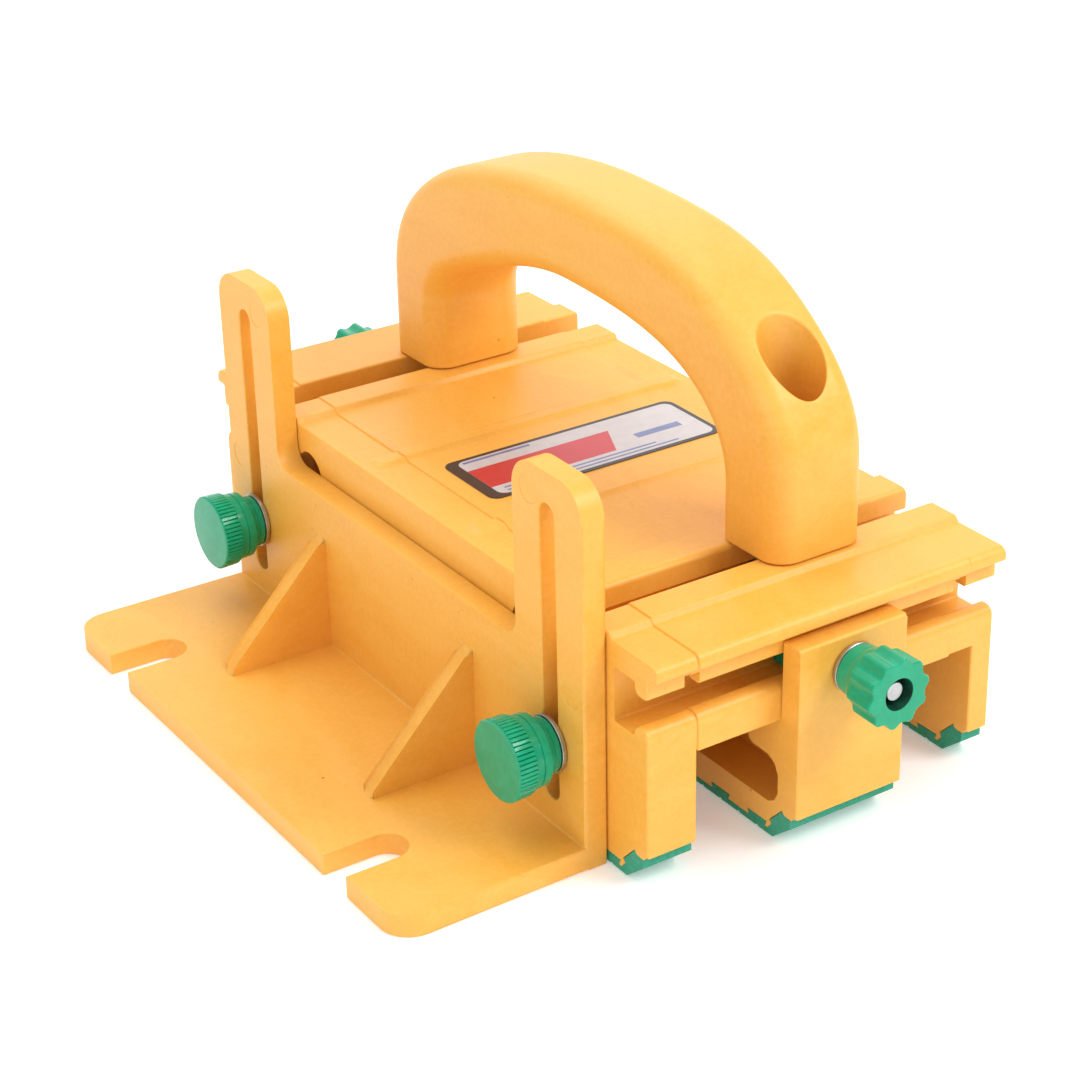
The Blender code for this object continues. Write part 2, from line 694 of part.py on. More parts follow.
def build_label():
    middle = SIDE_X + 51.8
    outline = box_outline(middle - 35.2, -12.2, middle + 35.2, 12.4, 2.8, 4)
    return prism("label", outline, "Z", DECK_Z + 0.1, DECK_Z + 0.3, paint=PAPER)


# ---- what moves together ----------------------------------------------------------------------------
def carried(name, spot, *pieces):
    """An empty on a joint's axis, which carries the pieces that move on it."""
    empty = bpy.data.objects.new(name, None)
    PARTS.objects.link(empty)
    empty.location = [mm(v) for v in spot]
    for piece in pieces:
        obj = bpy.data.objects[piece]
        obj.parent = empty
        obj.matrix_parent_inverse = Matrix.Translation(empty.location).inverted()


def carry_moving_pieces():
    carried("support_rail", (SIDE_X - GAP, 0.0, SIDE_Z), "balance_support")
    leg = ["centre_leg", "centre_sole"]
    handle = ["handle"]
    for side, word in ((-1, "near"), (1, "far")):
        leg += [f"star_bolt_{word}", f"slider_{word}"]
        handle += [f"handle_washer_{word}", f"handle_bolt_{word}", f"handle_tnut_{word}"]
        knob_axis = (SIDE_X - GAP - PLATE_T, side * SIDE_Y, SIDE_Z)
        side_pieces = [f"side_{kind}_{word}" for kind in ("washer", "knob", "stud")]
        carried(f"side_axis_{word}", knob_axis, *side_pieces)
        star_axis = (LEG_MID, side * LEG_Y, STAR_Z)
        star_pieces = [f"star_{kind}_{word}" for kind in ("washer", "knob", "bush")]
        carried(f"star_axis_{word}", star_axis, *star_pieces)
    carried("leg_rail", (LEG_MID, 0.0, STAR_Z), *leg)
    carried("handle_rail", (HANDLE_X, 0.0, RIDGE_Z), *handle)


def shade_round_surfaces():
    for obj in PARTS.objects:
        if obj.type == "MESH" and obj.data.polygons:
            obj.data.shade_smooth()
            obj.data.set_sharp_from_angle(angle=SHARP_ANGLE)


# ---- the whole object ------------------------------------------------------------------------------
build_block()
build_sole("left_sole", BLOCK_Y, BLOCK_X0 + 0.1, BLOCK_X0 + LEFT_LEG_W)
build_sole("right_sole", BLOCK_Y, BLOCK_X1 - RIGHT_LEG_W, BLOCK_X1 - 0.1)
build_leg()
build_sole("centre_sole", LEG_Y, LEG_MID - LEG_W / 2, LEG_MID + LEG_W / 2)
build_support()
build_handle()
build_handle_fixings()
build_side_knobs()
build_star_knobs()
build_label()
carry_moving_pieces()
shade_round_surfaces()
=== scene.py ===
"""Looks of the table saw push block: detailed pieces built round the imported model.

Lengths are in millimetres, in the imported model's frame, and every place is worked out from the
boxes of its nodes. "Near" is the end at low Y. Meshes hold metres.
"""

import math

import bmesh
import bpy
from mathutils import Matrix, Vector
from mathutils.bvhtree import BVHTree


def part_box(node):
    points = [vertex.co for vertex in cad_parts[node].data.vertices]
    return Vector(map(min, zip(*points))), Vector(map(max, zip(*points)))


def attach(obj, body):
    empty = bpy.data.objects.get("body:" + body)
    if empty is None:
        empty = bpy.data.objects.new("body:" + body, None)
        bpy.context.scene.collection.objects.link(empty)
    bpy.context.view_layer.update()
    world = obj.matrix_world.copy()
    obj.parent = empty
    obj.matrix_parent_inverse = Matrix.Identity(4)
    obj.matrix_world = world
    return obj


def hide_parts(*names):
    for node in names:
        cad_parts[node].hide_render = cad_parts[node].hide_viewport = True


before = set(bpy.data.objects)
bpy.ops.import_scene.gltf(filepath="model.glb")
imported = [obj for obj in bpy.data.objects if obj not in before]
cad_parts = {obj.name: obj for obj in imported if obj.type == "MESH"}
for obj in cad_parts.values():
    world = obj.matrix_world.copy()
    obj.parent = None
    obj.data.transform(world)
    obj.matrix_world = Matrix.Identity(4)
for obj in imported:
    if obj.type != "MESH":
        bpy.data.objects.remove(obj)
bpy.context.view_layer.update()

AXES = "XYZ"
SHARP = math.radians(32)


def mm(value):
    return value * 0.001


def node_box(name):
    """A node's lowest and highest corner, in millimetres."""
    low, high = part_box(name)
    return [v * 1000 for v in low], [v * 1000 for v in high]


# ---- places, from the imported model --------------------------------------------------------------
(BLOCK_X0, _, _), (BLOCK_X1, DECK_Y, RIDGE_Z) = node_box("main_body")
(LEG_X0, _, _), (LEG_X1, LEG_Y, LEG_TOP) = node_box("centre_leg")
(FOOT_X, _, _), (PLATE_X, SUPPORT_Y, POST_Z) = node_box("balance_support")
HANDLE_TOP = node_box("handle")[1][2]
LEG_MID = (LEG_X0 + LEG_X1) / 2
LEFT_LEG_W = node_box("left_sole")[1][0] - BLOCK_X0
RIGHT_LEG_W = BLOCK_X1 - node_box("right_sole")[0][0]
BLOCK_Y = DECK_Y - 3.5
DECK_Z = RIDGE_Z - 1.4
CAP_W = 11.5
CAP_DROP = 0.3
RAIL_Z = 32.4
SLOT_Y = 72.0
SLOT_W = 9.4
STAR_Z = sum(corner[2] for corner in node_box("star_bolt_near")) / 2
SIDE_Y = -sum(corner[1] for corner in node_box("side_stud_near")) / 2
SIDE_Z = sum(corner[2] for corner in node_box("side_stud_near")) / 2
FOOT_T = 5.8
PLATE_Z = 48.5
POST_W = 27.6
PLATE_T = 6.1
WALL_T = 4.5
SLAB_Z = 31.8  # top of the centre leg's web
BRACE_Y, BRACE_HALF = 35.8, 2.3
FOOT_SLOT_Y, FOOT_SLOT_HALF, FOOT_SLOT_DEPTH = 57.0, 5.3, 18.8
POST_SLOT_HALF, POST_SLOT_LOW, POST_SLOT_HIGH = 2.95, 12.5, 88.0
PIN_MARKS = ((64.1, 89.1), (35.2, 42.4), (79.6, 43.8))  # Y and Z of the marks in each half
PIN_MARK_R, PIN_MARK_DEPTH = 3.6, 0.12
BOLT_R = 2.4
BOLT_HOLE_R = 2.7
PITCH = 1.058
WASHER_T, WASHER_GAP = 1.2, 0.2
KNOB_GAP = 1.7  # from the face that a knob clamps to the knob itself
HANDLE_X = 37.7
HANDLE_W = 28.4
HANDLE_SKEW, HANDLE_FLARE = 0.85, 0.042
GRIP_R = 6.5
SOLE_T = 1.5
KEY_PITCH = 14.3
KEY_INSET = 14.7  # from a sole's end to its first key
ENDS = ((-1, "near"), (1, "far"))


# ---- outlines -----------------------------------------------------------------------------------
def rounded(corners, steps=6):
    """Corner points (u, v) or (u, v, radius), as an outline whose corners are arcs."""
    points = []
    count = len(corners)
    for index, corner in enumerate(corners):
        u, v = corner[:2]
        radius = corner[2] if len(corner) > 2 else 0.0
        if radius <= 0.0:
            points.append((u, v))
            continue
        before, after = corners[index - 1], corners[(index + 1) % count]
        ax, ay = before[0] - u, before[1] - v
        bx, by = after[0] - u, after[1] - v
        la, lb = math.hypot(ax, ay), math.hypot(bx, by)
        ax, ay, bx, by = ax / la, ay / la, bx / lb, by / lb
        half = math.acos(max(-1.0, min(1.0, ax * bx + ay * by))) / 2
        reach = radius / math.tan(half)
        mx, my = ax + bx, ay + by
        ml = math.hypot(mx, my)
        cu = u + mx / ml * radius / math.sin(half)
        cv = v + my / ml * radius / math.sin(half)
        start = math.atan2(v + ay * reach - cv, u + ax * reach - cu)
        end = math.atan2(v + by * reach - cv, u + bx * reach - cu)
        turn = (end - start + math.pi) % (2 * math.pi) - math.pi
        parts = steps if radius >= 0.7 else 3
        for step in range(parts + 1):
            angle = start + turn * step / parts
            points.append((cu + radius * math.cos(angle), cv + radius * math.sin(angle)))
    return points


def box_outline(u0, v0, u1, v1, radius=0.0, steps=6):
    corners = [(u0, v0), (u1, v0), (u1, v1), (u0, v1)]
    return rounded([(u, v, radius) for u, v in corners], steps)


def circle(u, v, radius, count=48):
    angles = [2 * math.pi * k / count for k in range(count)]
    return [(u + radius * math.cos(a), v + radius * math.sin(a)) for a in angles]


# ---- solids -------------------------------------------------------------------------------------
def new_object(name, work):
    bmesh.ops.recalc_face_normals(work, faces=work.faces)
    mesh = bpy.data.meshes.new(name)
    work.to_mesh(mesh)
    work.free()
    obj = bpy.data.objects.new(name, mesh)
    bpy.context.scene.collection.objects.link(obj)
    return obj


def place(axis, along, u, v):
    """A point from its place along an axis and its two other coordinates, in X, Y, Z order."""
    if axis == "X":
        return (mm(along), mm(u), mm(v))
    if axis == "Y":
        return (mm(u), mm(along), mm(v))
    return (mm(u), mm(v), mm(along))


def skin(work, rings, closed_ends=True):
    """Faces between rings of vertices, and caps on the first and the last."""
    count = len(rings[0])
    for ring_a, ring_b in zip(rings, rings[1:]):
        for k in range(count):
            work.faces.new((ring_a[k - 1], ring_a[k], ring_b[k], ring_b[k - 1]))
    if closed_ends:
        work.faces.new(rings[0])
        work.faces.new(rings[-1])


def loft(name, axis, sections):
    """A solid through sections (place along the axis, outline) that all have as many points."""
    work = bmesh.new()
    rings = [[work.verts.new(place(axis, at, u, v)) for u, v in outline] for at, outline in sections]
    skin(work, rings)
    return new_object(name, work)


def prism(name, points, axis, low, high, edge=0.0):
    """An outline pushed along an axis. The edges of its two ends are rounded by edge."""
    work = bmesh.new()
    rings = [[work.verts.new(place(axis, at, u, v)) for u, v in points] for at in (low, high)]
    skin(work, rings)
    if edge > 0:
        caps = {face for face in work.faces if len(face.verts) == len(points)}
        rim = [e for e in work.edges if any(face in caps for face in e.link_faces)]
        bmesh.ops.bevel(
            work, geom=rim, offset=mm(edge), segments=3, profile=0.5, affect="EDGES", clamp_overlap=False
        )
    return new_object(name, work)


def turned(name, profile, axis, origin, steps=64):
    """A closed solid of (radius, height) pairs turned about an axis; its heights run along it."""
    sign = -1.0 if axis[0] == "-" else 1.0
    letter = axis[1]
    ou, ov = [origin[k] for k in range(3) if AXES[k] != letter]
    start = origin[AXES.index(letter)]
    work = bmesh.new()
    rings = []
    for radius, height in profile:
        at = start + sign * height
        if radius <= 0.0:
            rings.append([work.verts.new(place(letter, at, ou, ov))])
            continue
        rings.append([work.verts.new(place(letter, at, u, v)) for u, v in circle(ou, ov, radius, steps)])
    bridge(work, rings, steps)
    if profile[0][0] > 0.0:
        bridge(work, [rings[-1], rings[0]], steps)
    return new_object(name, work)


def bridge(work, rings, steps):
    for one, other in zip(rings, rings[1:]):
        for k in range(steps):
            if len(one) == 1:
                work.faces.new((one[0], other[k], other[k - 1]))
            elif len(other) == 1:
                work.faces.new((one[k - 1], one[k], other[0]))
            else:
                work.faces.new((one[k - 1], one[k], other[k], other[k - 1]))


def baked(obj):
    """The object with its modifiers applied to its mesh."""
    bpy.context.view_layer.update()
    graph = bpy.context.evaluated_depsgraph_get()
    mesh = bpy.data.meshes.new_from_object(obj.evaluated_get(graph))
    old = obj.data
    obj.modifiers.clear()
    obj.data = mesh
    bpy.data.meshes.remove(old)
    return obj


def combine(obj, other, operation, solver):
    step = obj.modifiers.new("Step", "BOOLEAN")
    step.operation = operation
    step.solver = solver
    step.object = other
    baked(obj)
    old = other.data
    bpy.data.objects.remove(other, do_unlink=True)
    bpy.data.meshes.remove(old)
    return obj


def cut(obj, *tools, solver="MANIFOLD"):
    for other in tools:
        combine(obj, other, "DIFFERENCE", solver)
    return obj


def join(obj, *tools, solver="MANIFOLD"):
    for other in tools:
        combine(obj, other, "UNION", solver)
    return obj


def finish_piece(obj, paint, body, slot, *nodes, smooth=True):
    """Shading, material and ride of a finished piece, and the nodes that it stands for."""
    obj.data.materials.clear()
    obj.data.materials.append(paint)
    if smooth:
        obj.data.shade_smooth()
        obj.data.set_sharp_from_angle(angle=SHARP)
        even = obj.modifiers.new("Even", "WEIGHTED_NORMAL")
        even.keep_sharp = True
    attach(obj, body)
    if nodes:
        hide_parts(*nodes)
    return obj


# ---- materials ----------------------------------------------------------------------------------
class Paint:
    """A node material under construction: its nodes are added and linked by name."""

    def __init__(self, name):
        self.material = bpy.data.materials.new(name)
        self.material.use_nodes = True
        self.tree = self.material.node_tree
        self.shader = self.tree.nodes["Principled BSDF"]

    def add(self, kind, **values):
        node = self.tree.nodes.new("ShaderNode" + kind)
        for key, value in values.items():
            setattr(node, key, value)
        return node

    def link(self, source, target):
        self.tree.links.new(source, target)

    def place(self, scale=(1, 1, 1)):
        """Object coordinates, in metres, stretched by scale."""
        coords = self.add("TexCoord")
        mapping = self.add("Mapping")
        mapping.inputs["Scale"].default_value = scale
        self.link(coords.outputs["Object"], mapping.inputs["Vector"])
        return mapping.outputs["Vector"]

    def noise(self, vector, scale, detail=3.0, roughness=0.5, distortion=0.0):
        node = self.add("TexNoise")
        node.inputs["Scale"].default_value = scale
        node.inputs["Detail"].default_value = detail
        node.inputs["Roughness"].default_value = roughness
        node.inputs["Distortion"].default_value = distortion
        self.link(vector, node.inputs["Vector"])
        return node.outputs["Fac"]

    def ramp(self, source, *stops):
        """A ramp of (place, color or grey) stops."""
        node = self.add("ValToRGB")
        elements = node.color_ramp.elements
        while len(elements) < len(stops):
            elements.new(0.5)
        for element, (at, color) in zip(elements, stops):
            element.position = at
            element.color = (color, color, color, 1) if isinstance(color, float) else (*color, 1)
        self.link(source, node.inputs["Fac"])
        return node.outputs["Color"]

    def mix(self, factor, one, other, kind="MIX"):
        node = self.add("Mix", data_type="RGBA", blend_type=kind)
        for socket, value in ((node.inputs[0], factor), (node.inputs[6], one), (node.inputs[7], other)):
            if isinstance(value, bpy.types.NodeSocket):
                self.link(value, socket)
            elif isinstance(value, float):
                socket.default_value = value
            else:
                socket.default_value = (*value, 1)
        return node.outputs[2]

    def color(self, source):
        self.link(source, self.shader.inputs["Base Color"])

    def rough(self, source, low, high):
        """Roughness from a 0 to 1 source, between low and high."""
        node = self.add("MapRange")
        node.inputs["To Min"].default_value = low
        node.inputs["To Max"].default_value = high
        self.link(source, node.inputs["Value"])
        self.link(node.outputs["Result"], self.shader.inputs["Roughness"])

    def bump(self, source, strength, depth, normal=None):
        """A bump of depth millimetres. normal is an earlier normal that it adds to."""
        node = self.add("Bump")
        node.inputs["Strength"].default_value = strength
        node.inputs["Distance"].default_value = mm(depth)
        self.link(source, node.inputs["Height"])
        if normal is not None:
            self.link(normal, node.inputs["Normal"])
        return node.outputs["Normal"]

    def normal(self, source):
        self.link(source, self.shader.inputs["Normal"])

    def set(self, **values):
        for key, value in values.items():
            self.shader.inputs[key.replace("_", " ")].default_value = value


def moulded_plastic(name, main, flow, speck, roughness, glow):
    """Moulded plastic: pale flow marks, sparse dark specks, a satin skin and a little translucency."""
    paint = Paint(name)
    at = paint.place()
    marks = paint.noise(paint.place((1.0, 0.45, 1.6)), 55.0, 5.0, 0.62, 1.6)
    base = paint.mix(paint.ramp(marks, (0.38, 0.0), (0.72, 1.0)), main, flow)
    cloud = paint.noise(at, 17.0, 2.0, 0.5)
    base = paint.mix(paint.ramp(cloud, (0.35, 0.0), (0.7, 0.35)), base, flow)
    leather = paint.noise(at, 760.0, 4.0, 0.6, 0.4)
    base = paint.mix(paint.ramp(leather, (0.42, 0.0), (0.62, 0.3)), base, tuple(v * 1.12 for v in flow))
    dots = paint.add("TexVoronoi")
    dots.inputs["Scale"].default_value = 150.0
    paint.link(at, dots.inputs["Vector"])
    sparse = paint.ramp(paint.noise(at, 61.0, 1.0), (0.62, 0.0), (0.68, 1.0))
    near_dot = paint.ramp(dots.outputs["Distance"], (0.03, 1.0), (0.075, 0.0))
    spots = paint.mix(1.0, near_dot, sparse, "MULTIPLY")
    paint.color(paint.mix(spots, base, speck))
    paint.rough(marks, roughness - 0.05, roughness + 0.07)
    grain = paint.noise(at, 2600.0, 2.0, 0.6)
    waves = paint.noise(at, 90.0, 2.0, 0.5)
    paint.normal(paint.bump(waves, 0.2, 0.10, paint.bump(grain, 0.2, 0.03, paint.bump(leather, 0.14, 0.05))))
    paint.set(Subsurface_Weight=glow, Subsurface_Scale=mm(3.0), Subsurface_Radius=(1.0, 0.45, 0.12), IOR=1.49)
    return paint.material


def green_plastic():
    """Glossy green plastic with rubbed, slightly paler patches."""
    paint = Paint("green_gloss_plastic")
    at = paint.place()
    rub = paint.noise(at, 240.0, 4.0, 0.65, 0.8)
    base = paint.mix(paint.ramp(rub, (0.42, 0.0), (0.72, 0.8)), (0.001, 0.32, 0.155), (0.003, 0.40, 0.215))
    paint.color(base)
    paint.rough(rub, 0.09, 0.24)
    scratches = paint.noise(paint.place((1.0, 0.25, 4.0)), 900.0, 3.0, 0.7)
    paint.normal(paint.bump(scratches, 0.06, 0.012))
    paint.set(Subsurface_Weight=0.03, Subsurface_Scale=mm(2.0), Subsurface_Radius=(0.2, 1.0, 0.5), IOR=1.42)
    return paint.material


def green_painted_bore_shade():
    """The same green plastic, painted dark as the shade deep in a moulded hole, with a faint mottle."""
    paint = Paint("green_plastic_painted_bore_shade")
    shade_mottle = paint.noise(paint.place(), 420.0, 3.0, 0.6)
    shade_share = paint.ramp(shade_mottle, (0.35, 0.0), (0.7, 1.0))
    # painted shade: two dark greens mottled together stand for the shade inside a deep hole
    paint.color(paint.mix(shade_share, (0.004, 0.035, 0.02), (0.006, 0.09, 0.05)))
    paint.rough(shade_mottle, 0.3, 0.5)
    return paint.material


def green_rubber():
    """Matt green rubber with a fine open grain."""
    paint = Paint("green_grip_rubber")
    at = paint.place()
    cells = paint.noise(at, 900.0, 4.0, 0.7)
    dust = paint.noise(at, 70.0, 3.0, 0.6)
    base = paint.mix(paint.ramp(cells, (0.35, 0.0), (0.7, 1.0)), (0.012, 0.262, 0.155), (0.03, 0.37, 0.235))
    paint.color(paint.mix(paint.ramp(dust, (0.5, 0.0), (0.8, 0.25)), base, (0.22, 0.55, 0.42)))
    paint.rough(cells, 0.55, 0.8)
    paint.normal(paint.bump(cells, 0.35, 0.06))
    paint.set(IOR=1.5)
    return paint.material


def steel():
    """Zinc-plated steel: bright, with turning marks and dull patches."""
    paint = Paint("zinc_plated_steel")
    at = paint.place()
    cloud = paint.noise(at, 210.0, 4.0, 0.6)
    paint.color(paint.mix(paint.ramp(cloud, (0.35, 0.0), (0.7, 1.0)), (0.40, 0.41, 0.43), (0.62, 0.62, 0.61)))
    paint.rough(cloud, 0.26, 0.5)
    fine = paint.noise(paint.place((1.0, 1.0, 6.0)), 1800.0, 2.0, 0.6)
    paint.normal(paint.bump(fine, 0.15, 0.015))
    paint.set(Metallic=1.0)
    return paint.material


def brass():
    paint = Paint("turned_brass")
    cloud = paint.noise(paint.place(), 260.0, 4.0, 0.6)
    paint.color(paint.mix(paint.ramp(cloud, (0.35, 0.0), (0.7, 1.0)), (0.60, 0.40, 0.14), (0.80, 0.60, 0.26)))
    paint.rough(cloud, 0.22, 0.45)
    paint.set(Metallic=1.0)
    return paint.material


def film(name, main, other, roughness):
    """Printed plastic film: an even ink with a faint mottle under a clear coat."""
    paint = Paint(name)
    mottle = paint.noise(paint.place(), 300.0, 2.0, 0.5)
    paint.color(paint.mix(paint.ramp(mottle, (0.3, 0.0), (0.75, 1.0)), main, other))
    paint.rough(mottle, roughness - 0.04, roughness + 0.05)
    paint.set(Coat_Weight=0.2, Coat_Roughness=0.3)
    return paint.material


YELLOW = moulded_plastic(
    "yellow_moulded_plastic", (0.83, 0.40, 0.045), (0.87, 0.455, 0.08), (0.36, 0.14, 0.03), 0.42, 0.07
)
GREEN = green_plastic()
# painted shade: the dark green given to the wall deep in each star knob's hole
GREEN_BORE_SHADE = green_painted_bore_shade()
RUBBER = green_rubber()
STEEL = steel()
BRASS = brass()
FILM_DARK = film("label_border_film", (0.012, 0.008, 0.010), (0.024, 0.016, 0.02), 0.42)
FILM_WHITE = film("label_white_film", (0.52, 0.51, 0.53), (0.58, 0.57, 0.58), 0.36)
FILM_BLUE = film("label_blue_film", (0.12, 0.16, 0.36), (0.16, 0.20, 0.42), 0.3)
FILM_RED = film("label_red_film", (0.52, 0.016, 0.028), (0.57, 0.022, 0.035), 0.36)


# ---- the block ----------------------------------------------------------------------------------
def deck_end(top_inset, low_inset):
    """Half of the deck's section, in Y and Z, from the underside of the panel outwards."""
    top, strip = DECK_Z - top_inset, RIDGE_Z - top_inset
    front, upper = DECK_Y - top_inset, BLOCK_Y - top_inset
    lower = BLOCK_Y - low_inset
    slot_in, slot_out = SLOT_Y - SLOT_W / 2, SLOT_Y + SLOT_W / 2
    return [
        (60.5, 54.0, 1.0),
        (60.5, 45.5, 1.0),
        (84.0, 45.5, 1.0),
        (84.0, RAIL_Z, 0.8),
        (lower, RAIL_Z + low_inset, 0.5),
        (lower, 42.0 - low_inset, 2.3),
        (95.4, 42.0 - low_inset, 1.6),
        (95.4, 39.0, 0.8),
        (87.5, 39.0, 0.6),
        (87.5, 52.8, 0.6),
        (95.6, 52.8, 0.5),
        (95.6, 49.7, 2.0),
        (upper, 49.7, 0.7),
        (upper, 55.4, 0.35),
        (front, 55.4, 0.6),
        (front, top, 2.0),
        (86.6, top, 0.8),
        (85.6, strip, 0.8),
        (slot_out, strip, 0.6),
        (slot_out, 54.6, 0.3),
        (80.6, 54.6, 0.3),
        (80.6, 48.4, 0.3),
        (63.4, 48.4, 0.3),
        (63.4, 54.6, 0.3),
        (slot_in, 54.6, 0.3),
        (slot_in, strip, 1.4),
        (57.6, strip, 0.8),
        (56.6, top, 0.8),
    ]


def deck_section(top_inset, low_inset):
    half = deck_end(top_inset, low_inset)
    mirrored = [(-corner[0], *corner[1:]) for corner in reversed(half)]
    return rounded(half + mirrored, 4)


def deck_steps(length):
    """(distance from the end, top inset, lower inset): rounded edge, end strip, seam and main part."""
    edge = 0.55
    round_off = [(edge * (1 - math.cos(t)), edge * (1 - math.sin(t))) for t in (0.0, 0.5, 1.0, math.pi / 2)]
    steps = [(along, CAP_DROP + drop, CAP_DROP + drop) for along, drop in round_off]
    steps += [
        (CAP_W - 0.35, CAP_DROP, CAP_DROP),
        (CAP_W - 0.15, CAP_DROP + 0.12, CAP_DROP),
        (CAP_W + 0.02, 0.12, CAP_DROP),
        (CAP_W + 0.16, 0.0, CAP_DROP),
        (length - 0.2, 0.0, CAP_DROP),
        (length, 0.0, CAP_DROP + 0.10),
        (length + 0.16, 0.0, 0.08),
        (length + 0.34, 0.0, 0.0),
    ]
    return steps


def sole_top(length, grow=0.0):
    """Upper outline of a sole in Y and Z, with its dovetail keys, from -Y to +Y."""
    half = length
    end = [
        (2.2 - grow, 7.7 + grow),
        (4.6, 7.9 + grow),
        (5.4, 8.8 + grow),
        (9.9 + grow, 4.1 + grow),
        (9.0 + grow, 3.3),
        (10.5 + grow, SOLE_T + grow),
    ]
    points = [(-half + s, z) for s, z in end]
    span = 2 * (half - KEY_INSET)
    count = round(span / KEY_PITCH) + 1
    for k in range(count):
        middle = -half + KEY_INSET + span * k / (count - 1)
        for side in (-1, 1):
            low = (middle + side * (3.0 + grow), SOLE_T + grow)
            high = (middle + side * (3.6 + grow), 3.0 + grow)
            points += [low, high] if side < 0 else [high, low]
    return points + [(half - s, z) for s, z in reversed(end)]


def sole_bottom(length):
    """Lower outline of a sole, with small cross notches, from +Y to -Y."""
    half = length
    points = [(half - 2.2, 5.3), (half - 8.8, 0.0)]
    span = 2 * (half - KEY_INSET)
    count = 2 * round(span / KEY_PITCH) + 1
    for k in range(count):
        middle = half - KEY_INSET - span * k / (count - 1)
        points += [(middle + 0.6, 0.0), (middle + 0.35, 0.6), (middle - 0.35, 0.6), (middle - 0.6, 0.0)]
    return points + [(-half + 8.8, 0.0), (-half + 2.2, 5.3)]


def leg_room(length):
    """The space under a leg that its sole fills, for cutting."""
    top = sole_top(length, 0.12)
    edge = top[0][1]
    beyond = length + 9
    return top + [(beyond, edge), (beyond, -9), (-beyond, -9), (-beyond, edge)]


def leg_outline(length):
    """A fixed leg seen from the side. Its ends run up into the rails, and its underside turns up."""
    face = length - CAP_DROP
    half = [(85.5, 34.0), (85.5, 38.0), (face, 38.0), (face, 8.8), (length - 2.0, 8.8)]
    half += [(length - 2.0, 6.8), (length - 9.0, 0.6)]
    return half + [(-y, z) for y, z in reversed(half)]


def build_body():
    low_step, high_step = deck_steps(LEFT_LEG_W), deck_steps(BLOCK_X1 - BLOCK_X0 - 87.9)
    sections = [(BLOCK_X0 + along, deck_section(top, low)) for along, top, low in low_step]
    sections += [(BLOCK_X1 - along, deck_section(top, low)) for along, top, low in reversed(high_step)]
    body = loft("block_body", "X", sections)
    wall = [(-85.0, 47.0), (-85.0, 31.0), (85.0, 31.0), (85.0, 47.0), (61.5, 47.0), (61.5, 55.0)]
    wall += [(-61.5, 55.0), (-61.5, 47.0)]
    for x0, x1 in ((BLOCK_X0, BLOCK_X0 + WALL_T), (BLOCK_X1 - WALL_T, BLOCK_X1)):
        join(body, prism("wall", wall, "X", x0, x1))
    for x0, x1 in ((BLOCK_X0, BLOCK_X0 + LEFT_LEG_W), (BLOCK_X1 - RIGHT_LEG_W, BLOCK_X1)):
        join(body, prism("leg", leg_outline(BLOCK_Y), "X", x0, x1, 0.5))
        cut(body, prism("room", leg_room(BLOCK_Y), "X", x0 - 1, x1 + 1))
    for x0 in (BLOCK_X0 + 10.1, BLOCK_X1 - 13.4):
        for side, _ in ENDS:
            y0, y1 = sorted((side * 94.0, side * 101.5))
            cut(body, prism("notch", box_outline(y0, 45.0, y1, 52.8), "X", x0, x0 + 3.9))
    for side, _ in ENDS:
        cut(body, prism("window", circle(side * 52.0, 46.2, 6.4), "X", BLOCK_X0 - 1, BLOCK_X0 + 5.5))
        hole = circle(side * SIDE_Y, SIDE_Z, 3.7)
        cut(body, prism("hole", hole, "X", BLOCK_X0 - 1, BLOCK_X0 + 10.6))
        y0, y1 = sorted((side * 60.8, side * 63.8))
        gusset = box_outline(y0, 33.0, y1, 47.0)
        join(body, prism("gusset", gusset, "X", BLOCK_X0 + 2.0, BLOCK_X0 + LEFT_LEG_W))
        for x in (BLOCK_X0 + 34.0, BLOCK_X1 - 34.0):
            rib = [(58.0, 55.0), (58.0, 47.0), (61.5, 44.0), (61.5, 55.0)]
            join(body, prism("rib", [(side * y, z) for y, z in rib], "X", x - 1.5, x + 1.5))
        join(body, build_deck_rib(side))
    for x in (BLOCK_X0 + 33.0, BLOCK_X1 - 33.0):  # stiffening ribs under the panel
        join(body, prism("panel_rib", box_outline(-60.0, 50.4, 60.0, 54.6), "X", x - 0.9, x + 0.9))
    finish_piece(body, YELLOW, "block", "yellow_plastic", "main_body")


def build_deck_rib(side):
    """A low rib beside the label, which ends in a slope before the panel's side edges."""
    ends = [(2.6, 0.03, CAP_DROP), (3.4, 0.16, CAP_DROP), (4.4, 0.7, CAP_DROP), (5.4, 0.9, CAP_DROP)]
    ends += [(CAP_W - 0.2, 0.9, CAP_DROP), (CAP_W - 0.06, 0.78, CAP_DROP), (CAP_W + 0.16, 0.9, 0.0)]
    width = BLOCK_X1 - BLOCK_X0
    places = ends + [(width - along, rise, drop) for along, rise, drop in reversed(ends)]
    sections = []
    for along, rise, drop in places:
        foot = DECK_Z - drop - 0.04
        top = foot + rise
        half = [(20.2, foot - 0.5), (20.2, foot), (21.6, top, 0.9), (25.0, top, 0.9), (27.4, foot)]
        outline = rounded([*half, (27.4, foot - 0.5)], 4)
        sections.append((BLOCK_X0 + along, [(side * y, z) for y, z in outline]))
    return loft("deck_rib", "X", sections)


def build_sole(name, length, x0, x1, body, node):
    sole = prism(name, sole_top(length) + sole_bottom(length), "X", x0, x1, 0.18)
    finish_piece(sole, RUBBER, body, "green_rubber", node)


